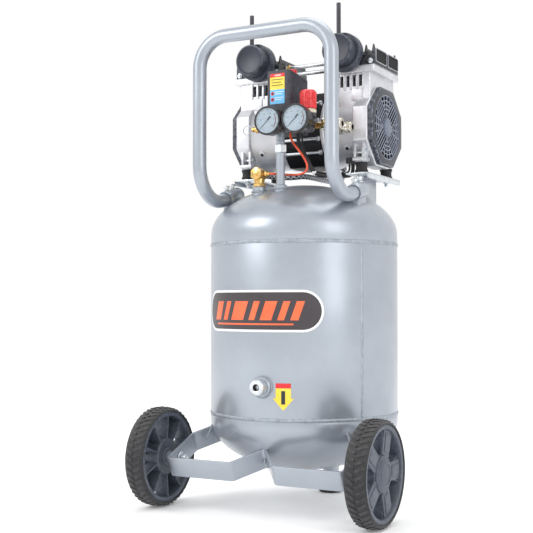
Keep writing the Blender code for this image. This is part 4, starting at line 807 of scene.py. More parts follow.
def makeStickers():
    middle = math.radians(14.8) * tankRadius
    half = 0.0135
    blocks = [
        (wrapped([(middle - half, 0.2235), (middle + half, 0.2235), (middle + half, 0.232),
                  (middle - half, 0.232)], 0.0004), "tagRed"),
        (wrapped([(middle - half, 0.2062), (middle + half, 0.2062), (middle + half, 0.2235),
                  (middle - half, 0.2235)], 0.0004), "tagYellow"),
        (wrapped([(middle, 0.185), (middle + 0.0188, 0.2062), (middle - 0.0188, 0.2062)], 0.0004),
         "tagYellow"),
        (wrapped([(middle - 0.0035, 0.196), (middle + 0.0035, 0.196), (middle + 0.0035, 0.219),
                  (middle - 0.0035, 0.219)], 0.0006), "ink"),
    ]
    patch = bmesh.new()
    outline = [(-0.109, -0.064), (-0.066, -0.083), (-0.054, -0.06), (-0.097, -0.04)]
    patch.faces.new([patch.verts.new((x, y, 0.0)) for x, y in outline])
    bmesh.ops.subdivide_edges(patch, edges=patch.edges[:], cuts=14, use_grid_fill=True)
    grown = bmesh.ops.extrude_face_region(patch, geom=patch.faces[:])
    raised = [v for v in grown["geom"] if isinstance(v, bmesh.types.BMVert)]
    for vertex in patch.verts:
        x, y = vertex.co.x, vertex.co.y
        lift = 0.0004 if vertex in raised else 0.0001
        vertex.co = place(x, y, domeHeight(math.hypot(x, y)) + lift * 1.4)
    bmesh.ops.recalc_face_normals(patch, faces=patch.faces)
    blocks.append((patch, "tagYellow"))
    piece("stickers", home, blocks)


makeLabel()
makeStickers()
print("tank ready")


wheelSet = {"x": 0.2125, "y": -0.163, "z": 0.09, "radius": 0.09, "half": 0.02, "rim": 0.0815,
            "lugs": 46, "spokes": 5, "hub": 0.033}


def makeTyre():
    half, radius = wheelSet["half"], wheelSet["radius"] - 0.0022
    where = (wheelSet["x"], wheelSet["y"], wheelSet["z"])
    profile = [(wheelSet["rim"], half - 0.003), (wheelSet["rim"] + 0.0015, half - 0.0008),
               (wheelSet["rim"] + 0.0032, half - 0.0012), (radius - 0.004, half - 0.0006),
               (radius - 0.0018, half - 0.003), (radius - 0.0004, half - 0.0075), (radius, half - 0.012),
               (radius, 0.0)]
    profile += [(r, -h) for r, h in profile[-2::-1]]
    body = lathe(profile, where, "X", 128, closed=True)
    blocks = [(body, "tyre")]
    for way, start in ((1, 0.0), (-1, math.tau / wheelSet["lugs"] / 2)):
        lug = prism([(-0.0085, -0.0022), (0.0085, -0.0022), (0.0078, 0.0022), (-0.0078, 0.0022)],
                    -0.003, 0.0, Matrix.Identity(4), 0.0005, 2)
        lean = Matrix.Rotation(math.radians(28 * way), 4, "X")
        stand = Matrix(((0, 0, 1, 0), (0, 1, 0, 0), (1, 0, 0, 0), (0, 0, 0, 1)))
        shift = Matrix.Translation((0.0, 0.0, 0.0092 * way))
        bmesh.ops.transform(lug, matrix=shift @ lean @ stand, verts=lug.verts)
        bmesh.ops.recalc_face_normals(lug, faces=lug.faces)
        for vertex in lug.verts:
            edge = max(0.0, abs(vertex.co.z) - 0.011)
            vertex.co.x -= edge * 0.38
        blocks.append((repeated("ring", lug, "tyre", onAxis(where, "X"), Count=wheelSet["lugs"],
                                Radius=wheelSet["radius"], From=start), "tyre"))
    return blocks


def makeRim():
    half = wheelSet["half"]
    x, y, z = wheelSet["x"], wheelSet["y"], wheelSet["z"]
    where = (x, y, z)
    rim, hub = wheelSet["rim"], wheelSet["hub"]
    barrel = lathe([(rim, half - 0.0035), (rim - 0.002, half - 0.0022), (rim - 0.0075, half - 0.003),
                    (rim - 0.0092, half - 0.0055), (rim - 0.0092, -half + 0.0055),
                    (rim - 0.0075, -half + 0.003), (rim - 0.002, -half + 0.0022), (rim, -half + 0.0035)],
                   where, "X", 96, closed=True)
    centre = lathe([(0.0068, half - 0.006), (hub - 0.004, half - 0.006), (hub, half - 0.0085),
                    (hub, -half + 0.0065), (hub - 0.002, -half + 0.004), (0.018, -half + 0.004),
                    (0.0165, -half + 0.0015), (0.0068, -half + 0.0015)], where, "X", 72, closed=True)
    cap = lathe([(0.0, half - 0.0006), (hub * 0.6, half - 0.001), (hub * 0.8, half - 0.0024),
                 (hub - 0.0022, half - 0.0052), (hub - 0.0018, half - 0.0068), (0.0, half - 0.0068)],
                where, "X", 72)
    ring = lathe([(hub * 0.52, half - 0.0004), (hub * 0.56, half - 0.0002), (hub * 0.6, half - 0.0008),
                  (hub * 0.56, half - 0.0022)], where, "X", 72, closed=True)
    blocks = [(barrel, "slate"), (centre, "slate"), (cap, "slate"), (ring, "slate")]
    inner, outer = hub - 0.003, rim - 0.008
    arm = prism([(inner, -0.0155), (outer, -0.0175), (outer, 0.0175), (inner, 0.0155)],
                half - 0.0105, half - 0.0062, Matrix.Identity(4), 0.0012)
    panel = prism([(inner + 0.006, -0.0085), (outer - 0.006, -0.01), (outer - 0.006, 0.01),
                   (inner + 0.006, 0.0085)], half - 0.007, half - 0.005, Matrix.Identity(4), 0.0009)
    for shape in (arm, panel):
        blocks.append((repeated("ring", shape, "slate", onAxis(where, "X"), Count=wheelSet["spokes"],
                                Radius=0.0, From=math.pi / 2), "slate"))
    web = prism([(inner, -half + 0.006), (outer, -half + 0.004), (outer, half - 0.008),
                 (inner, half - 0.008)], -0.0016, 0.0016,
                turnFront, 0.0006)
    for lean in (-0.3, 0.3):
        blocks.append((repeated("ring", web, "slate", onAxis(where, "X"), Count=wheelSet["spokes"],
                                Radius=0.0, From=math.pi / 2 + lean), "slate"))
    return blocks


def makeAxle():
    y, z = wheelSet["y"], wheelSet["z"]
    arm = 0.171
    blocks = [(pin(0.006, (arm - 0.014, y, z), (wheelSet["x"] + 0.009, y, z), 28), "zinc"),
              (pin(0.0103, (arm + 0.0023, y, z), (0.1958, y, z), 32), "zinc")]
    blocks += [(work, "zinc") for work in hexHead(0.0108, (arm - 0.0033, y, z), "-X", 0.0072, 0.0118)]
    return blocks


both("tyreSkin", makeTyre(), ["tyre"], "wheel")
both("rimSkin", makeRim(), ["rim"], "wheel")
both("axleSkin", makeAxle(), ["axle"])


# An open path with its corners rounded.
def filleted(points, radius, steps=6):
    made = [points[0]]
    for before, corner, after in zip(points, points[1:], points[2:]):
        first = (before - corner).normalized()
        second = (after - corner).normalized()
        angle = first.angle(second)
        reach = min(radius / math.tan(angle / 2), (before - corner).length / 2, (after - corner).length / 2)
        start, end = corner + first * reach, corner + second * reach
        for k in range(steps + 1):
            t = k / steps
            made.append(start * (1 - t) ** 2 + corner * 2 * t * (1 - t) + end * t ** 2)
    made.append(points[-1])
    return made


# One flat bar bent into a V at the middle and an arm at each side, tilted up to the rear.
def makeBracket():
    tilt = Matrix.Rotation(math.radians(22), 4, "X")
    origin = place(0, -0.204, 0.0954)
    half = [(0.042, 0.0), (0.171, 0.0), (0.171, 0.092), (0.135, 0.14)]
    flat = [(-x, v) for x, v in half[::-1]] + [(0.0, 0.056)] + half
    path = filleted([Vector((x, v, 0)) for x, v in flat], 0.009)
    blocks = []
    left, right = [], []
    for k, point in enumerate(path):
        along = (path[min(k + 1, len(path) - 1)] - path[max(k - 1, 0)]).normalized()
        normal = Vector((-along.y, along.x, 0)) * 0.002
        left.append((point + normal).to_2d())
        right.append((point - normal).to_2d())
    bar = prism([tuple(p) for p in left + right[::-1]], -0.0365, 0.0,
                Matrix.Translation(origin) @ tilt, 0.0009, 3)
    blocks.append((bar, "silver"))
    drop = ridge(0.0026, 0.0026, 0.003, Matrix.Identity(4))
    for sign in (-1, 1):
        start = place(sign * 0.1495, -0.105, 0.118)
        blocks.append((repeated("row", drop, "weld", Matrix.Translation(start), Count=12,
                                Step=(-sign * 0.0012, -0.0002, 0.0024), Uneven=0.12, Seed=8), "weld"))
    start = place(0.0, -0.1545, 0.0905)
    blocks.append((repeated("row", drop, "weld", Matrix.Translation(start), Count=12,
                            Step=(0, 0.0009, 0.0024), Uneven=0.12, Seed=9), "weld"))
    piece("bracketSkin", home, blocks, ("wheel_bracket",))


makeBracket()
piece("legSkin", home, [
    (pin(0.016, (0, 0.118, 0.0165), (0, 0.118, 0.13), 48, 0.0006), "silver"),
    (pin(0.0224, (0, 0.118, 0.0165), (0, 0.118, 0.0205), 48, 0.0008), "silver"),
    (collar(0.0166, (0, 0.118, 0.0215), "Z", 0.0016, 40), "weld"),
], ("rear_leg",))
piece("footSkin", home, [
    (lathe([(0.0, 0.016), (0.0205, 0.016), (0.0216, 0.015), (0.0225, 0.01), (0.022, 0.009),
            (0.0228, 0.008), (0.024, 0.003), (0.0232, 0.0008), (0.0215, 0.0), (0.0, 0.0)],
           (0, 0.118, 0), "Z", 64), "rubber")], ("rear_foot",))
print("wheels ready")


handleSet = {"half": 0.1325, "radius": 0.0125, "y": -0.159, "top": 0.852, "corner": 0.055,
             "lowBend": 0.062, "tilt": math.radians(15), "mouthY": -0.069, "mouthZ": 0.5657,
             "length": 0.05, "socket": 0.0155}


def socketPoint(along, x=0.0):
    return (x, handleSet["mouthY"] + along * math.cos(handleSet["tilt"]),
            handleSet["mouthZ"] + along * math.sin(handleSet["tilt"]))


def arcPoints(centre, across, up, radius, start, sweepBy, steps):
    return [centre + radius * (across * math.cos(start + sweepBy * k / steps)
                               + up * math.sin(start + sweepBy * k / steps)) for k in range(steps + 1)]


def handlePath():
    s = handleSet
    right, back, up = Vector((1, 0, 0)), Vector((0, 1, 0)), Vector((0, 0, 1))
    corner = place(s["half"] - s["corner"], s["y"], s["top"] - s["corner"])
    points = [place(0, s["y"], s["top"])]
    points += arcPoints(corner, right, up, s["corner"], math.pi / 2, -math.pi / 2, 18)
    startY = s["y"] + s["lowBend"] * (1 + math.sin(s["tilt"]))
    start = socketPoint((startY - s["mouthY"]) / math.cos(s["tilt"]))
    lowZ = start[2] + s["lowBend"] * math.cos(s["tilt"])
    centre = place(s["half"], s["y"] + s["lowBend"], lowZ)
    points += arcPoints(centre, back, up, s["lowBend"], math.pi, math.pi / 2 + s["tilt"], 20)
    points.append(place(*socketPoint(s["length"] - 0.004, s["half"])))
    return [Vector((-p.x, p.y, p.z)) for p in points[:0:-1]] + points


def makeSocket():
    s = handleSet
    x = s["half"]
    tilt = Matrix.Rotation(s["tilt"], 4, "X")
    frameAt = Matrix.Translation(place(*socketPoint(0, x))) @ tilt @ turns["Y"]
    tubeBlock = lathe([(s["radius"] + 0.0004, 0.0006), (s["radius"] + 0.0012, 0.0),
                       (s["socket"] - 0.0006, 0.0),
                       (s["socket"], 0.0008), (s["socket"], s["length"] - 0.0008),
                       (s["socket"] - 0.0006, s["length"]), (0.0, s["length"]),
                       (0.0, s["length"] - 0.002), (s["radius"] + 0.0004, s["length"] - 0.002)],
                      drawnAtOrigin, "Z", 64, closed=True)
    bmesh.ops.transform(tubeBlock, matrix=frameAt, verts=tubeBlock.verts)
    blocks = [(tubeBlock, "silver")]
    middle = socketPoint(s["length"] / 2, x)
    saddle = block((x - 0.007, middle[1] - 0.018, middle[2] - 0.036),
                   (x + 0.007, middle[1] + 0.018, middle[2] - 0.009), 0.0012)
    blocks.append((saddle, "silver"))
    drop = ridge(0.0018, 0.0018, 0.0022, Matrix.Identity(4))
    for edge in (-1, 1):
        start = place(x + edge * 0.0078, middle[1] - 0.016, middle[2] - 0.0155)
        blocks.append((repeated("row", drop, "weld", Matrix.Translation(start), Count=14,
                                Step=(0, 0.0024, 0.00062), Uneven=0.12, Seed=12), "weld"))
    for along in (0.012, 0.034):
        at = socketPoint(along, x)
        lift = s["socket"]
        base = (x, at[1] - math.sin(s["tilt"]) * lift, at[2] + math.cos(s["tilt"]) * lift)
        screw = [lathe([(0.0, 0.0088), (0.0022, 0.0088), (0.005, 0.0088), (0.0056, 0.008), (0.0056, 0.004),
                        (0.0035, 0.0036), (0.0035, -0.003), (0.0, -0.003)], drawnAtOrigin, "Z", 28),
                 lathe([(0.0048, 0.0012), (0.006, 0.0006), (0.006, -0.0012), (0.0048, -0.0012)],
                       drawnAtOrigin, "Z", 28, closed=True)]
        # A thin dark hexagon on each screw head: painted shade standing in for its socket.
        recess = lathe([(0.0, 0.009), (0.0027, 0.009), (0.0027, 0.0089), (0.0, 0.0089)],
                       drawnAtOrigin, "Z", 6)
        for work, look in [(w, "zinc") for w in screw] + [(recess, "dark")]:
            bmesh.ops.transform(work, matrix=Matrix.Translation(place(*base)) @ tilt, verts=work.verts)
            blocks.append((work, look))
    return blocks


piece("handleSkin", home, [(sweep(handlePath(), handleSet["radius"], 40), "silver")], ("handle_tube",))
both("socketSkin", makeSocket(), ["handle_socket"])
print("handle ready")


caseSet = {"inner": 0.04, "housing": 0.108, "housingEnd": 0.1377, "barrel": 0.068, "lip": 0.0715,
           "housingSize": 0.149, "housingChamfer": 0.0437, "cover": (0.138, 0.148), "coverSize": 0.144,
           "coverChamfer": 0.042, "grille": 0.0605, "windows": {"left": 0.0645, "right": 0.077},
           "windowPitch": 0.0125, "windowWidth": 0.0075, "windowZ": (0.7705, 0.7915), "shaftHole": 0.008,
           "crankSpace": 0.062, "bore": 0.0302, "boreX": 0.088, "fanSpace": 0.0652, "jacketX": (0.058, 0.137),
           "jacketHalf": 0.058, "footHalf": 0.059}
motorSet = {"half": 0.0394, "bore": 0.0425, "size": 0.1385, "plateSize": 0.14, "chamfer": 0.034,
            "plates": 45, "pitch": 0.00175, "bolt": 0.003, "nut": 0.0052}


def makeMotor():
    s = motorSet
    at = outward(0, pumpY, pumpZ)
    plate = prism(octagon(s["plateSize"], s["chamfer"]), 0.0, 0.00125, at, 0.0002, 1)
    plate = carve(plate, [pin(s["bore"], (-0.01, pumpY, pumpZ), (0.01, pumpY, pumpZ), 48, 0.0)])
    bmesh.ops.translate(plate, vec=(-s["half"], 0, 0), verts=plate.verts)
    blocks = [(repeated("row", plate, "stack", Count=s["plates"], Step=(s["pitch"], 0, 0)), "stack")]
    core = prism(octagon(s["size"], s["chamfer"]), -s["half"], s["half"], at, 0.0, 1)
    blocks.append((carve(core, [pin(s["bore"], (-0.05, pumpY, pumpZ), (0.05, pumpY, pumpZ), 48, 0.0)]),
                   "stack"))
    end = s["half"] + 0.0002
    for y, z in ((-0.06, 0.046), (0.06, 0.046), (-0.06, -0.046), (0.06, -0.046),
                 (-0.0715, 0.012), (-0.0715, -0.022)):
        y, z = pumpY + y, pumpZ + z
        blocks.append((pin(s["bolt"], (-end, y, z), (end, y, z), 20), "zinc"))
        for x in (-0.0398, 0.0346):
            blocks.append((pin(s["nut"], (x, y, z), (x + s["nut"], y, z), 6), "zinc"))
    piece("statorSkin", home, blocks, ("stator",))


# Casting, drawn for the right: crankcase barrel, fan housing, cylinder jacket, deck and feet.
def makeCase(side):
    s = caseSet
    end = s["housingEnd"]
    lip, barrel = s["lip"], s["barrel"]
    body = lathe([(0.0, s["inner"]), (lip - 0.0016, s["inner"]), (lip, s["inner"] + 0.0016),
                  (lip, s["inner"] + 0.0062), (lip - 0.0016, s["inner"] + 0.0078),
                  (barrel, s["inner"] + 0.0086),
                  (barrel, s["housing"] - 0.004), (barrel + 0.003, s["housing"] + 0.0005),
                  (0.0, s["housing"] + 0.0005)], (0, pumpY, pumpZ), "X", 96)
    # Room for the shaft, the crank, the piston and the fan, as the moving parts need it.
    centre = (pumpY, pumpZ)
    shaftHole = pin(s["shaftHole"], (0.03, *centre), (0.13, *centre), 48, 0.0)
    crankSpace = pin(s["crankSpace"], (0.0455, *centre), (0.1055, *centre), 72, 0.0)
    bore = pin(s["bore"], (s["boreX"], *centre), (s["boreX"], pumpY, 0.83), 64, 0.0)
    fanSpace = pin(s["fanSpace"], (0.1137, *centre), (0.16, *centre), 72, 0.0)
    body = carve(body, [shaftHole.copy(), crankSpace.copy(), bore.copy()])
    housing = prism(octagon(s["housingSize"], s["housingChamfer"]), s["housing"], end,
                    outward(0, pumpY, pumpZ), 0.0026, 3)
    housing = carve(housing, [prism(octagon(s["housingSize"] - 0.01, s["housingChamfer"] - 0.003),
                                    s["housing"] + 0.005, end + 0.01, outward(0, pumpY, pumpZ), 0.0, 1),
                              shaftHole])
    # The ring and back wall inside the fan housing take the near-black recess colour: painted shade.
    shroud = lathe([(0.0635, end - 0.0005), (0.0655, end - 0.0005), (0.0655, 0.1134), (0.008, 0.1134),
                    (0.008, 0.1142), (0.0635, 0.1142)], (0, pumpY, pumpZ), "X", 72, closed=True)
    near, far = pumpY - s["jacketHalf"], pumpY + s["jacketHalf"]
    jacket = block((s["jacketX"][0], near, pumpZ + 0.02), (s["jacketX"][1], far, 0.797), 0.0028, 3)
    first = s["windows"][side]
    slots = []
    for k in range(4):
        start = first + s["windowPitch"] * k
        for low, high in ((near - 0.02, near + 0.009), (far - 0.009, far + 0.02)):
            slots.append(block((start, low, s["windowZ"][0]),
                               (start + s["windowWidth"], high, s["windowZ"][1]),
                               0.0012))
    jacket = carve(jacket, slots + [crankSpace, bore.copy(), fanSpace])
    deck = block((0.05, pumpY - 0.061, 0.7955), (0.146, pumpY + 0.061, 0.8078), 0.0022, 3)
    deck = carve(deck, [bore])
    blocks = [(body, "cast"), (housing, "cast"), (shroud, "dark"), (jacket, "cast"), (deck, "cast")]
    # Thin near-black sheets behind the cooling windows: painted shade seen through them.
    for y in (near + 0.0082, far - 0.0094):
        blocks.append((block((first - 0.001, y, 0.7695), (first + 0.046, y + 0.0012, 0.7925), 0.0002, 1),
                       "dark"))
    blocks.append((block((first + 0.024, near - 0.0022, 0.744), (first + 0.0455, near + 0.003, 0.765), 0.001),
                   "cast"))
    for k in range(5):
        x = first - 0.0053 + s["windowPitch"] * k
        blocks.append((block((x, near - 0.0022, 0.765), (x + 0.003, near + 0.003, 0.7955), 0.0008), "cast"))
    # Drain bosses low on the barrel, front and rear, and on the right side a plastic block under it.
    for way in (-1, 1):
        for x, angle, radius in ((0.09, -37, 0.0066), (0.056, 12, 0.005)):
            turnBy = math.radians(angle)
            reach = Vector((0, way * math.cos(turnBy), math.sin(turnBy)))
            at = Vector((x, pumpY, pumpZ)) + reach * (s["barrel"] - 0.004)
            blocks.append((pin(radius, tuple(at), tuple(at + reach * 0.0068), 36, 0.0009), "cast"))
            # The dark pin in each boss is painted shade standing in for its hole.
            blocks.append((pin(radius * 0.5, tuple(at + reach * 0.003), tuple(at + reach * 0.007), 28,
                               0.0001),
                           "dark"))
    if side == "right":
        blocks.append((block((0.0785, 0.0185, 0.6313), (0.0965, 0.0335, 0.647), 0.0016), "plastic"))
    for way in (-1, 1):
        foot = pumpY + way * s["footHalf"]
        blocks.append((block((0.1065, foot - 0.0115, 0.631), (0.1315, foot + 0.0115, 0.6375), 0.0012),
                       "cast"))
        for ear in (0.1085, 0.1245):
            blocks.append((block((ear, foot - 0.01, 0.636), (ear + 0.0048, foot + 0.01, 0.664), 0.0016),
                           "cast"))
        blocks.append((pin(0.003, (0.106, foot, 0.647), (0.1318, foot, 0.647), 20), "zinc"))
        for x, axis in ((0.1085, "-X"), (0.1293, "X")):
            blocks += [(work, "zinc") for work in hexHead(0.0052, (x, foot, 0.647), axis, 0.0032, 0.006)]
    return blocks


# Right-hand cylinder head: finned, with two framed recesses on its outer end.
def makeHead():
    front, back = pumpY - 0.059, pumpY + 0.059
    base = block((0.05, front, 0.8083), (0.146, back, 0.8285), 0.0016, 3)
    gasket = block((0.0505, front + 0.0005, 0.808), (0.1455, back - 0.0005, 0.8088), 0.0001, 1)
    blocks = [(base, "head"), (gasket, "zinc")]
    fin = prism([(front + 0.001, 0.826), (front + 0.001, 0.8335), (front + 0.0065, 0.847),
                 (front + 0.0085, 0.847), (front + 0.012, 0.8405), (back - 0.012, 0.8405),
                 (back - 0.0085, 0.847), (back - 0.0065, 0.847), (back - 0.001, 0.8335),
                 (back - 0.001, 0.826)], 0.0, 0.0026, Matrix.Translation((0.0512, backShift, 0)) @ turnOut,
                0.0006)
    blocks.append((repeated("row", fin, "head", Count=7, Step=(0.0149, 0, 0)), "head"))
    blocks.append((block((0.143, front + 0.0015, 0.827), (0.1462, back - 0.0015, 0.8385), 0.001), "head"))
    for start in (-0.0555, 0.0025):
        outline = roundedRect(0.052, 0.026, 0.004)
        hole = roundedRect(0.0484, 0.0224, 0.003)
        frameAt = outward(0, pumpY + start + 0.0265, 0.8262)
        ring = carve(prism(outline, 0.145, 0.148, frameAt, 0.0005),
                     [prism(hole, 0.14, 0.15, frameAt, 0.0, 1)])
        # Each pale frame ring is a painted highlight round its recess.
        blocks.append((ring, "headEdgeHighlight"))
        # The near-black plate in each frame is painted shade in the recess.
        blocks.append((prism(hole, 0.1455, 0.1464, frameAt, 0.0003, 1), "dark"))
    for x in (0.0575, 0.0985, 0.1385):
        blocks += [(work, "zinc") for work in hexHead(0.0044, (x, front, 0.815), "-Y", 0.0034, 0.0052)]
    return blocks


# Right-hand fan guard: octagonal frame round a circular grille of straight and curved bars.
def makeCover():
    s = caseSet
    low, top = s["cover"]
    size, chamfer, reach = s["coverSize"], s["coverChamfer"], s["grille"]
    at = outward(0, pumpY, pumpZ)
    through = pin(reach, (low - 0.02, pumpY, pumpZ), (top + 0.02, pumpY, pumpZ), 96, 0.0)
    shell = carve(prism(octagon(size, chamfer), low, top - 0.0004, at, 0.0022, 3), [through.copy()])
    # The front face ring takes the lighter face colour, a painted reflection.
    face = carve(prism(octagon(size - 0.007, chamfer - 0.002), top - 0.0008, top, at, 0.0004, 2), [through])
    blocks = [(shell, "navy"), (face, "guardFaceReflection")]
    bars, pitch, hub, half = 5, 0.007, 0.0165, 0.0009
    outlines = []
    for quarter in range(4):
        lean = math.pi / 4 + math.pi / 2 * quarter
        along, across = (math.cos(lean), math.sin(lean)), (-math.sin(lean), math.cos(lean))
        for k in range(bars):
            offset = pitch * (k - (bars - 1) / 2)
            first, last = math.sqrt(hub ** 2 - offset ** 2), math.sqrt(reach ** 2 - offset ** 2) + 0.0008
            outlines.append([(along[0] * t + across[0] * (offset + w),
                              along[1] * t + across[1] * (offset + w))
                             for t, w in ((first, -half), (last, -half), (last, half), (first, half))])
        middle = math.pi / 2 * quarter
        for radius in (0.0265, 0.0345, 0.0425, 0.0505):
            spread = math.pi / 4 - math.asin((bars - 1) / 2 * pitch / radius)
            angles = [middle + spread * (k / 6 - 1) for k in range(13)]
            outlines.append([((radius + w) * math.cos(a), (radius + w) * math.sin(a))
                             for w, turn in ((half, angles), (-half, angles[::-1])) for a in turn])
        for swing in (-0.26, 0.0, 0.26):
            a = middle + swing
            start = 0.0255 if swing == 0.0 else 0.0335
            outlines.append([(math.cos(a) * r - math.sin(a) * w, math.sin(a) * r + math.cos(a) * w)
                             for r, w in ((start, -half), (reach + 0.0008, -half), (reach + 0.0008, half),
                                          (start, half))])
    # The bars and the outer ring take the light grey bar colour, a painted highlight.
    for outline in outlines:
        blocks.append((prism(outline, top - 0.0026, top - 0.001, at, 0.0004, 1), "guard"))
    ring = lathe([(reach - 0.0016, -0.0006), (reach - 0.0016, -0.0046), (reach + 0.0006, -0.0046),
                  (reach + 0.0006, -0.0006)], (top, pumpY, pumpZ), "X", 96, closed=True)
    disc = lathe([(0.0, 0.0018), (0.015, 0.0018), (0.0172, 0.0006), (0.0176, -0.005), (0.0, -0.005)],
                 (top, pumpY, pumpZ), "X", 72)
    return blocks + [(ring, "guard"), (disc, "hub")]


def makeFilter():
    x, z = 0.091, 0.832
    back = pumpY - 0.0613
    drum = lathe([(0.0, 0.0), (0.0325, 0.0), (0.035, -0.0012), (0.0355, -0.0035), (0.0355, -0.0085),
                  (0.0347, -0.0095), (0.0347, -0.0115), (0.0355, -0.0125), (0.0355, -0.019),
                  (0.0345, -0.0213), (0.0325, -0.022), (0.0292, -0.022), (0.0285, -0.023),
                  (0.0285, -0.0405), (0.0292, -0.0412), (0.0292, -0.0435), (0.028, -0.0448),
                  (0.0262, -0.045), (0.025, -0.0436), (0.0235, -0.043), (0.0, -0.0426)],
                 (x, back, z), "Y", 96)
    pipeY = back - 0.0335
    pipe = lathe([(0.0026, 0.0), (0.0036, 0.0), (0.004, -0.0008), (0.004, -0.0585), (0.0062, -0.0605),
                  (0.0066, -0.068), (0.0, -0.068), (0.0, -0.01), (0.0026, -0.01)],
                 (x, pipeY, 0.919), "Z", 32, closed=True)
    return [(drum, "drum"), (pipe, "plastic")]


def makeTransfer():
    inner = 0.0497
    y = pumpY - 0.03
    blocks = []
    for z in (0.812, 0.826):
        blocks.append((pin(0.0038, (-inner + 0.001, y, z), (inner - 0.001, y, z), 28), "steel"))
        for sign in (-1, 1):
            blocks.append((pin(0.0058, (sign * (inner - 0.0085), y, z), (sign * (inner - 0.003), y, z), 6),
                           "brass"))
    for sign in (-1, 1):
        low, high = sorted((sign * inner, sign * (inner - 0.004)))
        blocks.append((block((low, y - 0.009, 0.809), (high, y + 0.009, 0.829), 0.0009), "steel"))
    piece("transferSkin", home, blocks, ("transfer_pipes",))


makeMotor()
for side, sign in sides:
    blocks = makeCase(side)
    if sign < 0:
        blocks = [(flipped(work), look) for work, look in blocks]
    piece("caseSkin" + side.capitalize(), home, blocks, ("crankcase_" + side,))
both("headSkin", makeHead(), ["cylinder_head"])
both("coverSkin", makeCover(), ["fan_cover"])
both("filterSkin", makeFilter(), ["filter"])
makeTransfer()
print("pump ready")


mountSet = {"x": 0.12, "halfY": 0.059, "radius": 0.0125, "height": 0.022, "top": 0.608,
            "plate": (0.096, 0.142), "overhang": 0.018}


def makePlate():
    s = mountSet
    low = s["top"] - 0.003
    y0 = pumpY - s["halfY"] - s["overhang"]
    y1 = pumpY + s["halfY"] + s["overhang"]
    blocks = [(block((s["plate"][0], y0, low), (s["plate"][1], y1, s["top"]), 0.0006), "zinc"),
              (block((s["plate"][1] - 0.003, y0, low - 0.008), (s["plate"][1], y1, s["top"]), 0.0008),
               "zinc")]
    for way in (-1, 1):
        y = pumpY + way * s["halfY"]
        blocks += [(work, "zinc") for work in hexHead(0.0058, (s["x"], y, low), "-Z", 0.0048, 0.0078)]
        blocks.append((pin(0.003, (s["x"], y, low - 0.004), (s["x"], y, low - 0.0105), 20), "zinc"))
    return blocks


def makeLeg():
    s = mountSet
    x = s["plate"][0] + 0.012
    low = s["top"] - 0.0033
    y0, y1 = pumpY - 0.034, pumpY + 0.03
    foot = domeHeight(math.hypot(x, y0)) - 0.012
    blocks = [(block((x, y0, foot), (x + 0.004, y1, low), 0.0008), "silver"),
              (block((x, y0, low - 0.004), (x + 0.024, y1, low), 0.0008), "silver")]
    drop = ridge(0.0018, 0.0018, 0.0024, Matrix.Identity(4))
    beads = bmesh.new()
    for k in range(24):
        y = y0 + (y1 - y0) * k / 23
        for edge in (x - 0.0003, x + 0.0043):
            copy = drop.copy()
            bmesh.ops.translate(copy, vec=place(edge, y, domeHeight(math.hypot(edge, y)) + 0.0002),
                                verts=copy.verts)
            merge(beads, copy)
    blocks.append((beads, "weld"))
    return blocks


def makeRubber(way):
    s = mountSet
    half = s["height"] / 2
    r = s["radius"]
    where = (s["x"], pumpY + way * s["halfY"], s["top"] + 0.0003 + half)
    body = lathe([(0.0, half - 0.0012), (r - 0.0016, half - 0.0012), (r - 0.0004, half - 0.0026),
                  (r - 0.0002, half - 0.005), (r - 0.0018, half - 0.0072), (r - 0.002, 0.0),
                  (r - 0.0018, -half + 0.0072), (r - 0.0002, -half + 0.005), (r - 0.0004, -half + 0.0026),
                  (r - 0.0016, -half + 0.0012), (0.0, -half + 0.0012)], where, "Z", 56)
    discs = [lathe([(0.0, t + 0.0012), (r - 0.0006, t + 0.0012), (r - 0.0006, t), (0.0, t)], where, "Z", 56)
             for t in (half - 0.0012, -half)]
    return [(body, "rubber")] + [(disc, "zinc") for disc in discs]


both("plateSkin", makePlate(), ["mount_plate"])
both("mountLegSkin", makeLeg(), ["mount_leg"])
both("rubberFront", makeRubber(-1), ["rubber_mount_front"])
both("rubberRear", makeRubber(1), ["rubber_mount_rear"])
print("mounts ready")


def makeRiser():
    y = -0.094
    foot = domeHeight(0.094)
    pipe = lathe([(0.0, 0.6797), (0.0074, 0.6797), (0.008, 0.679), (0.008, 0.672), (0.007, 0.6714),
                  (0.007, 0.664), (0.008, 0.6634), (0.008, foot - 0.01), (0.0, foot - 0.01)], (0, y, 0), "Z",
                 48)
    threads = bmesh.new()
    for k in range(7):
        z = 0.664 + 0.0011 * k
        ring = lathe([(0.0068, z), (0.0079, z + 0.0005), (0.0068, z + 0.001)], (0, y, 0), "Z", 40,
                     closed=True)
        merge(threads, ring)
    boss = lathe([(0.0, foot + 0.008), (0.0105, foot + 0.008), (0.012, foot + 0.0066), (0.012, foot - 0.012),
                  (0.0, foot - 0.012)], (0, y, 0), "Z", 48)
    nut = lathe([(0.0, 0.658), (0.0098, 0.658), (0.0116, 0.6566), (0.0116, 0.6434), (0.0098, 0.642),
                 (0.0, 0.642)], (0, y, 0), "Z", 6)
    blocks = [(pipe, "silver"), (threads, "zinc"), (boss, "silver"), (nut, "zinc"),
              (collar(0.0124, (0, y, foot + 0.0012), "Z", 0.002, 30), "weld")]
    piece("riserSkin", home, blocks, ("riser_pipe",))


switchSet = {"x": (-0.0205, 0.028), "y": (-0.112, -0.036), "base": (0.68, 0.712), "top": 0.79, "drop": 0.008}


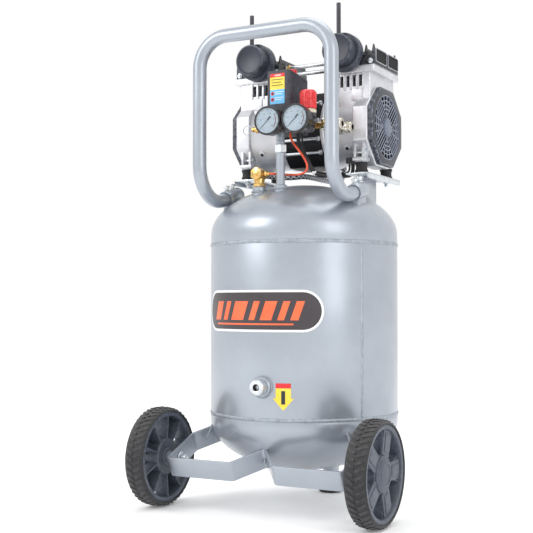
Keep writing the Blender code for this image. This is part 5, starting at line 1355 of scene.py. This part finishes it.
def makeSwitch():
    s = switchSet
    x0, x1 = s["x"]
    y0, y1 = s["y"]
    middleX, middleY = (x0 + x1) / 2, (y0 + y1) / 2
    base = block((x0, y0, s["base"][0]), (x1, y1, s["base"][1] - 0.001), 0.0022, 3)
    rim = block((x0, y0, s["base"][1] - 0.006), (x1, y1, s["base"][1]), 0.0012)
    blocks = [(base, "black"), (rim, "black")]
    for y in (y0 + 0.012, y1 - 0.012):
        for x, axis in ((x1 - 0.0008, "X"), (x0 + 0.0008, "-X")):
            blocks.append((pin(0.0058, (x, y, s["base"][0] + 0.013),
                               (x + (0.0008 if axis == "X" else -0.0008), y,
                                                                      s["base"][0] + 0.013), 36, 0.0003),
                           "zinc"))
            # A dark hexagon on each screw head: painted shade standing in for its socket.
            blocks.append((lathe([(0.0, 0.0011), (0.0028, 0.0011), (0.0028, 0.0004), (0.0, 0.0004)],
                                 (x, y, s["base"][0] + 0.013), axis, 6), "dark"))
    piece("switchBaseSkin", home, blocks, ("switch_base",))

    slope = math.atan2(s["drop"], y1 - y0)
    low = s["base"][1] + 0.0003
    width, depth = x1 - x0 - 0.001, y1 - y0
    shell = prism(roundedRect(width, depth, 0.0055), low, s["top"] + 0.004,
                  Matrix.Translation(place(middleX + 0.0005, middleY, 0)), 0.0)
    wedge = block((-0.1, y0 - 0.05, s["top"]), (0.1, y1 + 0.05, s["top"] + 0.05), 0.0)
    hinge = Matrix.Translation(place(0, y0, s["top"]))
    bmesh.ops.transform(wedge, matrix=hinge @ Matrix.Rotation(-slope, 4, "X") @ hinge.inverted(),
                        verts=wedge.verts)
    knobX, knobY = x1 - 0.018, y1 - 0.03
    shell = carve(shell, [wedge, pin(0.0034, (knobX, knobY, low), (knobX, knobY, 0.85), 28, 0.0)])
    soften(shell, 0.0016, 3, 50)
    blocks = [(shell, "plastic")]
    seam = prism(roundedRect(width + 0.0004, depth + 0.0004, 0.0057), low + 0.0016, low + 0.0028,
                 Matrix.Translation(place(middleX + 0.0005, middleY, 0)), 0.0)
    blocks.append((seam, "dark"))
    for side in (x0 + 0.001, x1):
        way = 1 if side == x1 else -1
        for k in range(6):
            y = y0 + 0.02 + 0.007 * k
            a, b = sorted((side - way * 0.0012, side + way * 0.0004))
            blocks.append((block((a, y, low + 0.014), (b, y + 0.003, low + 0.052), 0.0006), "plastic"))
    # The front label: plain colour fields and two round marks.
    face = y0 - 0.0002
    at = frontward(middleX + 0.0005, face + 0.0003, 0)
    left, right = -0.016, 0.0135
    for z0, z1, look in ((0.7775, 0.784, "tagRed"), (0.755, 0.7775, "tagYellow"), (0.729, 0.755, "tagBlue")):
        blocks.append((prism([(left, z0), (right, z0), (right, z1), (left, z1)], 0.0, 0.0006, at, 0.0, 1),
                       look))
    blocks.append((prism(roundedRect(0.013, 0.0028, 0.0013), 0.0005, 0.0008,
                         at @ Matrix.Translation((0.0, 0.7808, 0)), 0.0, 1), "tagPale"))
    marks = [(left + 0.003, right - 0.003 - 0.004 * (k % 2), 0.7725 - 0.0052 * k, 0.0012,
              "ink") for k in range(3)]
    marks += [(left + 0.0095, right - 0.002 - 0.003 * (k % 2), 0.75 - 0.0036 * k - 0.003 * (k // 2), 0.001,
               "labelWhite") for k in range(4)]
    for a, b, z, tall, look in marks:
        blocks.append((prism([(a, z), (b, z), (b, z + tall), (a, z + tall)], 0.0005, 0.0008, at, 0.0, 1),
                       look))
    for z, look in ((0.748, "tagRed"), (0.737, "tagRed")):
        for radius, high, finish in ((0.0034, 0.0008, look), (0.002, 0.001, "ink")):
            dot = [(left + 0.0052 + radius * math.cos(math.tau * k / 24),
                    z + radius * math.sin(math.tau * k / 24))
                   for k in range(24)]
            blocks.append((prism(dot, 0.0005, high, at, 0.0, 1), finish))
    piece("switchCoverSkin", home, blocks, ("switch_cover",), 30)

    topZ = s["top"] - s["drop"] * (knobY - y0) / (y1 - y0)
    stand = 0.0018
    knob = lathe([(0.0, stand + 0.012), (0.0058, stand + 0.012), (0.007, stand + 0.0112),
                  (0.0074, stand + 0.0095), (0.0076, stand + 0.0015), (0.007, stand), (0.003, stand),
                  (0.003, -0.022), (0.0, -0.022)], (knobX, knobY, topZ), "Z", 56)
    rib = block((-0.0005, -0.0006 - backShift, 0.0018), (0.0006, 0.0006 - backShift, 0.0105), 0.0003)
    ribs = repeated("ring", rib, "red", onAxis((knobX, knobY, topZ + stand)), Count=26, Radius=0.0075)
    piece("switchKnobSkin", "switch_knob", [(knob, "red"), (ribs, "red")], ("switch_knob",))


regSet = {"x": 0.055, "y": -0.092, "radius": 0.0145, "low": 0.677, "knob": (0.718, 0.752)}


def makeRegulator():
    s = regSet
    where = (s["x"], s["y"], 0)
    r = s["radius"]
    body = lathe([(0.0, 0.696), (r - 0.0012, 0.696), (r, 0.6945), (r, s["low"] + 0.01),
                  (r - 0.004, s["low"] + 0.001), (r - 0.005, s["low"]), (0.0, s["low"])], where, "Z", 8)
    neck = lathe([(0.0, 0.71), (r - 0.0004, 0.71), (r, 0.7092), (r, 0.704), (r - 0.0022, 0.7034),
                  (r - 0.0022, 0.695), (0.0, 0.695)], where, "Z", 64)
    ring = lathe([(0.0, 0.7174), (r - 0.001, 0.7174), (r + 0.0004, 0.716), (r + 0.0004, 0.7112),
                  (r - 0.0012, 0.71), (0.0, 0.71)], where, "Z", 64)
    nipple = pin(0.006, (0.0283, s["y"], 0.694), (s["x"], s["y"], 0.694), 6, 0.0005)
    collarBlock = pin(0.0078, (0.029, s["y"], 0.694), (0.0345, s["y"], 0.694), 6, 0.0006)
    piece("regulatorSkin", home, [(body, "black"), (neck, "black"), (ring, "cream"), (nipple, "brass"),
                                  (collarBlock, "brass")], ("regulator_body",), 30)
    low, high = s["knob"]
    height = high - low
    knob = lathe([(0.0, height - 0.001), (0.008, height - 0.001), (0.0092, height),
                  (0.012, height - 0.0003), (0.0138, height - 0.0022), (0.0142, 0.003), (0.015, 0.0022),
                  (0.015, 0.0003), (0.0, 0.0003)], (s["x"], s["y"], low), "Z", 72)
    rib = block((-0.0006, -0.0009 - backShift, 0.0035), (0.001, 0.0009 - backShift, height - 0.0035), 0.0005)
    ribs = repeated("ring", rib, "red", onAxis((s["x"], s["y"], low)), Count=28, Radius=0.0141)
    piece("regulatorKnobSkin", "regulator_knob", [(knob, "red"), (ribs, "red")], ("regulator_knob",))


gaugeSet = {"z": 0.694, "face": -0.147, "radius": 0.026, "depth": 0.028}


def makeGauge(side, x, stemEnd):
    s = gaugeSet
    r, z, face = s["radius"], s["z"], s["face"]
    where = (x, face, z)
    case = lathe([(0.0, -0.0026), (r - 0.0034, -0.0026), (r - 0.003, -0.0006), (r - 0.0018, 0.0),
                  (r - 0.0004, -0.0006), (r, -0.0018), (r, -0.0058), (r - 0.001, -0.0068),
                  (r - 0.0016, -0.0072), (r - 0.0016, -s["depth"] + 0.0045),
                  (r - 0.0032, -s["depth"] + 0.0016),
                  (r - 0.0065, -s["depth"]), (0.0, -s["depth"])], where, "-Y", 96)
    stem = pin(0.0052, (x, face + s["depth"] - 0.001, z), (x, stemEnd, z), 6, 0.0004)
    dial = lathe([(0.0, -0.0023), (r - 0.0036, -0.0023), (r - 0.0036, -0.0027), (0.0, -0.0027)], where, "-Y",
                 96)
    blocks = [(case, "case"), (stem, "brass"), (dial, "dial")]
    # Scale runs 270 degrees clockwise from the lower left; ticks lie on the dial.
    at = frontward(x, face + 0.0023, z)
    for count, length, width, start in ((11, 0.0032, 0.0006, r - 0.0062), (51, 0.0018, 0.0003, r - 0.0055)):
        tick = prism([(0.0, -width / 2), (length, -width / 2), (length, width / 2), (0.0, width / 2)],
                     0.0, 0.0001, Matrix.Identity(4), 0.0, 1)
        bmesh.ops.translate(tick, vec=(-length / 2, 0, 0), verts=tick.verts)
        sweepBy = math.radians(270) * count / (count - 1)
        blocks.append((repeated("ring", tick, "ink", at, Count=count, Radius=start,
                                From=math.radians(-45), Sweep=sweepBy), "ink"))
    red = prism([(0.0, -0.0004), (0.0014, -0.0004), (0.0014, 0.0005), (0.0, 0.0005)], 0.0, 0.00012,
                Matrix.Identity(4), 0.0, 1)
    blocks.append((repeated("ring", red, "arc", at, Count=40, Radius=r - 0.0098, From=math.radians(-45),
                            Sweep=math.radians(85)), "arc"))
    for k in range(6):
        angle = math.radians(225 - 54 * k)
        dot = roundedRect(0.0022, 0.0012, 0.0004, 2)
        spot = Matrix.Translation(((r - 0.0125) * math.cos(angle), (r - 0.0125) * math.sin(angle), 0))
        blocks.append((prism(dot, 0.0, 0.0001, at @ spot, 0.0, 1), "ink"))
    piece("gaugeSkin" + side, home, blocks, ("gauge_" + side.lower(),))
    glass = lathe([(0.0, -0.00045), (r - 0.0031, -0.00055), (r - 0.0031, -0.0011), (0.0, -0.001)],
                  where, "-Y", 64)
    piece("gaugeGlass" + side, home, [(glass, "glass")])
    body = "needle_" + side.lower()
    aim = Matrix.Rotation(math.radians(135), 4, "Z")
    level = frontward(x, face + 0.00165, z)
    tip, tail = r - 0.0078, 0.0088 - r * 0.7
    blade = prism([(-0.0003, tip), (-0.0006, 0.0), (-0.0012, -0.0005), (-0.0014, tail), (0.0014, tail),
                   (0.0012, -0.0005), (0.0006, 0.0), (0.0003, tip)], 0.0, 0.0004, level @ aim, 0.0001, 1)
    hub = lathe([(0.0, 0.0006), (0.0012, 0.0006), (0.0018, 0.0003), (0.0018, -0.0003), (0.0, -0.0003)],
                (x, face + 0.00165, z), "-Y", 32)
    piece("needleSkin" + side, body, [(blade, "ink"), (hub, "needleHub")], (body,))


def makeOutlets():
    x0, x1, z, half = 0.086, 0.1, 0.687, 0.01
    ys = (-0.092, -0.048)
    bar = block((x0, ys[0] - 0.012, z - half), (x1, ys[1] + 0.012, z + half), 0.0018, 3)
    neck = pin(0.006, (regSet["x"] + regSet["radius"] + 0.0003, ys[0], z), (x0 + 0.002, ys[0], z), 6, 0.0005)
    blocks = [(bar, "nickel"), (neck, "brass")]
    end = 0.1225
    for name, y in (("front", ys[0]), ("rear", ys[1])):
        body = lathe([(0.0052, end), (0.0058, end + 0.0002), (0.007, end), (0.0074, end - 0.0008),
                      (0.0074, x1 + 0.005), (0.0, x1 + 0.005), (0.0, end - 0.014), (0.0052, end - 0.014)],
                     (0, y, z), "X", 64, closed=True)
        hexBlock = pin(0.0094, (x1 - 0.0005, y, z), (x1 + 0.003, y, z), 6, 0.0007)
        # The dark cup inside each coupler is painted shade in its mouth.
        mouth = lathe([(0.0, -0.012), (0.0051, -0.012), (0.0051, -0.0012), (0.0048, -0.0012),
                       (0.0046, -0.011), (0.0, -0.011)], (end, y, z), "X", 40)
        blocks += [(body, "nickel"), (hexBlock, "nickel"), (mouth, "mouth")]
        sleeveEnd = end - 0.001
        start = sleeveEnd - 0.013
        sleeve = lathe([(0.0079, 0.013), (0.0094, 0.013), (0.0102, 0.0122), (0.0104, 0.0106),
                        (0.0098, 0.0098),
                        (0.0098, 0.0088), (0.0104, 0.008), (0.0104, 0.0016), (0.0098, 0.0004),
                        (0.0079, 0.0002)],
                       (start, y, z), "X", 80, closed=True)
        bar = block((-0.0004, -0.00035 - backShift, 0.0022), (0.0004, 0.00035 - backShift, 0.0076), 0.0002)
        knurl = repeated("ring", bar, "nickel", onAxis((start, y, z), "X"), Count=48, Radius=0.0104)
        piece("sleeveSkin" + name.capitalize(), "coupler_sleeve_" + name,
              [(sleeve, "nickel"), (knurl, "nickel")],
              ("coupler_sleeve_" + name,))
    for y in (ys[0] - 0.012, ys[1] + 0.012):
        way = -1 if y < ys[0] else 1
        blocks.append((pin(0.0056, (0.093, y, z), (0.093, y + way * 0.0022, z), 6, 0.0004), "brass"))
    piece("outletSkin", home, blocks, ("outlet_manifold",))


def makeValves():
    y, z = -0.096, 0.689
    start = 0.0208
    end = start + 0.037
    body = lathe([(0.0, end), (0.0036, end), (0.0044, end - 0.0008), (0.0044, end - 0.0075),
                  (0.0066, end - 0.0082), (0.0071, end - 0.0095), (0.0071, end - 0.014),
                  (0.0066, end - 0.0147), (0.0071, end - 0.0154), (0.0074, end - 0.022),
                  (0.006, end - 0.0245), (0.0055, start + 0.011), (0.0055, start), (0.0, start)],
                 (0, y, z), "-X", 64)
    hexBlock = pin(0.0082, (-start - 0.003, y, z), (-start - 0.0095, y, z), 6, 0.0007)
    # The dark disc at the tip and the dark holes are painted shade in the valve's openings.
    tip = lathe([(0.0, 0.0002), (0.0034, 0.0002), (0.0034, -0.0004), (0.0, -0.0004)], (-end, y, z), "-X", 40)
    holes = repeated("ring", pin(0.0011, (-0.0002, -backShift, 0), (0.0005, -backShift, 0), 16, 0.0), "dark",
                     onAxis((-end + 0.0042, y, z), "-X"), Count=6, Radius=0.0044)
    piece("safetySkin", home, [(body, "brass"), (hexBlock, "brass"), (tip, "dark"), (holes, "dark")],
          ("safety_valve",))
    ringX = -(end + 0.0005 + 0.0015) - 0.0085
    loop = [place(ringX + 0.0084 * math.cos(math.tau * k / 48), y, z + 0.0084 * math.sin(math.tau * k / 48))
            for k in range(49)]
    stem = pin(0.0016, (-(end + 0.0005), y, z), (ringX + 0.0082, y, z), 20, 0.0002)
    piece("safetyRingSkin", "safety_ring", [(sweep(loop, 0.0009, 16), "steel"), (stem, "steel")],
          ("safety_ring",))

    x, y, z = -0.044, -0.094, 0.606
    foot = domeHeight(math.hypot(x, y))
    boss = lathe([(0.0, foot + 0.01), (0.0112, foot + 0.01), (0.0125, foot + 0.0088), (0.0125, foot - 0.012),
                  (0.0, foot - 0.012)], (x, y, 0), "Z", 56)
    body = lathe([(0.0, z + 0.004), (0.0086, z + 0.004), (0.0098, z + 0.0028), (0.0098, foot + 0.008),
                  (0.0, foot + 0.008)], (x, y, 0), "Z", 56)
    lower = lathe([(0.0, foot + 0.0165), (0.0112, foot + 0.0165), (0.0122, foot + 0.0155),
                   (0.0122, foot + 0.0108),
                   (0.0112, foot + 0.01), (0.0, foot + 0.01)], (x, y, 0), "Z", 6)
    cap = pin(0.0125, (x, y - 0.014, z), (x, y + 0.0108, z), 6, 0.0009)
    face = lathe([(0.0, 0.0006), (0.0072, 0.0006), (0.0082, 0.0), (0.0082, -0.001), (0.0, -0.001)],
                 (x, y - 0.014, z), "-Y", 48)
    nipple = lathe([(0.0, 0.022), (0.003, 0.022), (0.0035, 0.0212), (0.0035, 0.017), (0.005, 0.0166),
                    (0.0052, 0.012), (0.0035, 0.0114), (0.0035, 0.0), (0.0, 0.0)], (x, y, z), "X", 40)
    piece("checkSkin", home, [(boss, "silver"), (body, "brass"), (lower, "brass"), (cap, "brass"),
                              (face, "brass"), (nipple, "brass"),
                              (collar(0.0129, (x, y, foot + 0.0008), "Z", 0.002, 32), "weld")],
          ("check_valve",))

    crown = 0.062
    piece("drainSkin", home, [
        (lathe([(0.0, crown + 0.006), (0.0048, crown + 0.006), (0.0048, crown - 0.0012),
                (0.0, crown - 0.0012)],
               (0, 0, 0), "Z", 40), "brass"),
        (lathe([(0.0, crown - 0.0013), (0.0092, crown - 0.0013), (0.01, crown - 0.0025),
                (0.01, crown - 0.011),
                (0.0092, crown - 0.012), (0.0, crown - 0.012)], (0, 0, 0), "Z", 6), "brass"),
        (lathe([(0.0, crown - 0.0118), (0.006, crown - 0.0118), (0.006, crown - 0.0192),
                (0.0052, crown - 0.02),
                (0.0, crown - 0.02)], (0, 0, 0), "Z", 40), "brass")], ("drain_valve",))
    top = crown - 0.0203
    wing = prism(roundedRect(0.028, 0.007, 0.003), -0.0014, 0.0014, frontward(0, 0, top - 0.0055), 0.0006)
    piece("drainHandleSkin", "drain_handle", [
        (wing, "brass"),
        (lathe([(0.0, top), (0.0044, top), (0.005, top - 0.0008), (0.005, top - 0.0092), (0.0042, top - 0.01),
                (0.0, top - 0.01)], (0, 0, 0), "Z", 40), "brass")], ("drain_handle",))


makeRiser()
makeSwitch()
makeRegulator()
makeGauge("Left", 0.0, -0.1123)
makeGauge("Right", regSet["x"], regSet["y"] - regSet["radius"] - 0.0003)
makeOutlets()
makeValves()
print("fittings ready")


crownZ = tankSet["high"] + tankSet["topFlange"] + tankSet["depth"]


# Points along the same curve as the CAD line, closer together; heights are above the tank's crown.
def smoothRoute(points, step):
    route = [place(x, y, crownZ + height) for x, y, height in points]
    made = [route[0]]
    for k in range(1, len(route) - 2):
        before, start, end, after = route[k - 1:k + 3]
        count = max(2, round((end - start).length / step))
        for number in range(count):
            t = number / count
            made.append(0.5 * (2 * start + (end - before) * t
                               + (2 * before - 5 * start + 4 * end - after) * t ** 2
                               + (3 * start - before - 3 * end + after) * t ** 3))
    return made + route[-2:]


# One cord as a piece of its own, with the piece that holds its fittings if it has one.
def layCord(name, route, diameter, steps, look, nodes=(), fittings=None):
    made = piece(name, home, [(sweep(route, diameter / 2, steps), look)], nodes)
    more = {"with_pieces": [piece(fittings[0], home, fittings[1])]} if fittings else {}


def makeLines():
    gap = 0.0003
    back = Vector((0, backShift, 0))
    check, port, behind, entry = 0.015, 0.2275, 0.146, 0.095
    hose = smoothRoute([(-0.044, -0.083 + gap, check), (-0.044, -0.074, check),
                        (-0.037, -0.061, check - 0.001),
                        (-0.018, -0.053, 0.012), (0.002, -0.046, 0.012), (0.013, -0.025, 0.015),
                        (0.015, 0.01, 0.016), (0.015, 0.056, 0.016), (0.015, 0.1, 0.018),
                        (0.016, behind - 0.01, 0.026), (0.018, behind, 0.05), (0.02, behind, 0.09),
                        (0.02, behind, 0.14), (0.02, behind, port - 0.04),
                        (0.021, behind - 0.008, port - 0.014), (0.027, entry + 0.012, port - 0.001),
                        (0.037, entry, port), (0.05 - gap, entry, port)], 0.003)
    ends = []
    for first, second in ((hose[0], hose[1]), (hose[-1], hose[-2])):
        way = (second - first).normalized()
        for low, high, radius, count in ((0.0, 0.009, 0.006, 28), (0.0, 0.0045, 0.0068, 6)):
            a, b = first + way * low, first + way * high
            ends.append((pin(radius, a - back, b - back, count, 0.0004), "steel"))
    layCord("hoseSkin", hose, 0.01, 28, "braid", ("delivery_hose",), ("hoseEnds", ends))
    base = 0.089 - gap
    line = smoothRoute([(-0.022 + gap, -0.094, check), (-0.017, -0.094, check), (-0.009, -0.085, 0.0145),
                        (0.0, -0.079, 0.014), (0.012, -0.076, 0.013), (0.03, -0.076, 0.013),
                        (0.043, -0.077, 0.018), (0.046, -0.079, 0.029), (0.04, -0.081, 0.043),
                        (0.03, -0.082, 0.057), (0.02, -0.083, 0.07), (0.015, -0.083, 0.08),
                        (0.014, -0.083, base)], 0.003)
    layCord("unloaderSkin", line, 0.004, 20, "orange", ("unloader_tube",))
    caseLow = pumpZ - caseSet["barrel"] - gap - crownZ
    leads = smoothRoute([(0.02, -0.062, base), (0.02, -0.062, 0.077), (0.026, -0.064, 0.059),
                         (0.037, -0.065, 0.041), (0.046, -0.064, 0.026), (0.052, -0.06, 0.016),
                         (0.064, -0.05, 0.011), (0.078, -0.034, 0.011), (0.086, -0.012, 0.013),
                         (0.089, 0.01, 0.016), (0.09, 0.022, 0.022), (0.09, 0.026, 0.031),
                         (0.09, 0.026, caseLow)], 0.003)
    middle = len(leads) * 4 // 10
    tie = leads[middle]
    along = (leads[middle + 1] - leads[middle - 1]).normalized()
    band = pin(0.0042, tie - along * 0.0013 - back, tie + along * 0.0013 - back, 32, 0.0003)
    lock = block(tuple(tie - Vector((0.0022, backShift + 0.0062, 0.002))),
                 tuple(tie + Vector((0.0022, -backShift - 0.0034, 0.002))), 0.0005)
    layCord("leadsSkin", leads, 0.007, 24, "lead", ("motor_leads",),
            ("leadsTie", [(band, "labelWhite"), (lock, "labelWhite")]))
    # A thinner lead beside the main one, from the switch base to the same casting.
    thin = smoothRoute([(0.0245, -0.055, base), (0.0245, -0.055, 0.077), (0.029, -0.056, 0.059),
                        (0.038, -0.057, 0.042), (0.0445, -0.057, 0.029), (0.051, -0.054, 0.02),
                        (0.062, -0.043, 0.017), (0.074, -0.029, 0.017), (0.08, -0.012, 0.018),
                        (0.082, 0.008, 0.02), (0.083, 0.022, 0.026), (0.083, 0.026, 0.033),
                        (0.083, 0.026, caseLow)], 0.003)
    layCord("thinLeadSkin", thin, 0.0036, 16, "lead")


makeLines()

# Inner pieces that show only through the guards keep their CAD shape.
# The fans take the near-black recess colour: painted shade behind the guards.
for nodeName, look in (("rotor_shaft", "steel"), ("fan_left", "dark"), ("fan_right", "dark"),
                       ("piston_left", "cast"), ("piston_right", "cast")):
    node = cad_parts[nodeName]
    for slot in node.material_slots:
        slot.material = looks[look]
print("lines ready")


floorLook = makeLook("studioFloor", "#FAFAFA", 0.8, 0.0, "#FCFCFC", 900, 0.05, 4.0, 0.02, spec=0.1)
floorShader = floorLook.node_tree.nodes["Principled BSDF"]
floorShader.inputs["Emission Color"].default_value = rgb("#FFFFFF")
floorShader.inputs["Emission Strength"].default_value = 0.1
floorMesh = bpy.data.meshes.new("studioFloor")
studioSet = {"half": 6, "drop": -0.0005, "focal": 1050, "width": 533, "sensor": 36}
corners = [(x * studioSet["half"], y * studioSet["half"], studioSet["drop"])
           for x, y in ((-1, -1), (1, -1), (1, 1), (-1, 1))]
floorMesh.from_pydata(corners, [], [(0, 1, 2, 3)])
floorMesh.materials.append(floorLook)
floor = bpy.data.objects.new("studioFloor", floorMesh)
bpy.context.scene.collection.objects.link(floor)

world = bpy.data.worlds.new("studio")
world.use_nodes = True
world.node_tree.nodes["Background"].inputs["Color"].default_value = (1.0, 1.0, 1.0, 1.0)
world.node_tree.nodes["Background"].inputs["Strength"].default_value = 1.0
bpy.context.scene.world = world


def light(name, where, aim, size, power):
    data = bpy.data.lights.new(name, "AREA")
    data.shape = "RECTANGLE"
    data.size, data.size_y = size
    data.energy = power
    made = bpy.data.objects.new(name, data)
    made.location = where
    made.rotation_euler = (Vector(aim) - Vector(where)).to_track_quat("-Z", "Y").to_euler()
    bpy.context.scene.collection.objects.link(made)


light("keyLight", (-1.6, -2.2, 2.1), (0, 0, 0.5), (1.4, 1.4), 30)
light("fillLight", (2.4, -1.2, 1.3), (0, 0, 0.5), (1.2, 1.8), 14)
light("topLight", (0.2, 0.4, 2.8), (0, 0, 0.4), (1.8, 1.8), 18)

cameraData = bpy.data.cameras.new("camera")
cameraData.lens = studioSet["focal"] / studioSet["width"] * studioSet["sensor"]
cameraData.sensor_width = studioSet["sensor"]
camera = bpy.data.objects.new("camera", cameraData)
camera.location = (0.888, -1.733, 0.37)
camera.rotation_euler = (math.radians(92.0), 0.0, math.radians(28.66))
bpy.context.scene.collection.objects.link(camera)
bpy.context.scene.camera = camera
bpy.context.scene.view_settings.view_transform = "Standard"

bpy.context.view_layer.update()
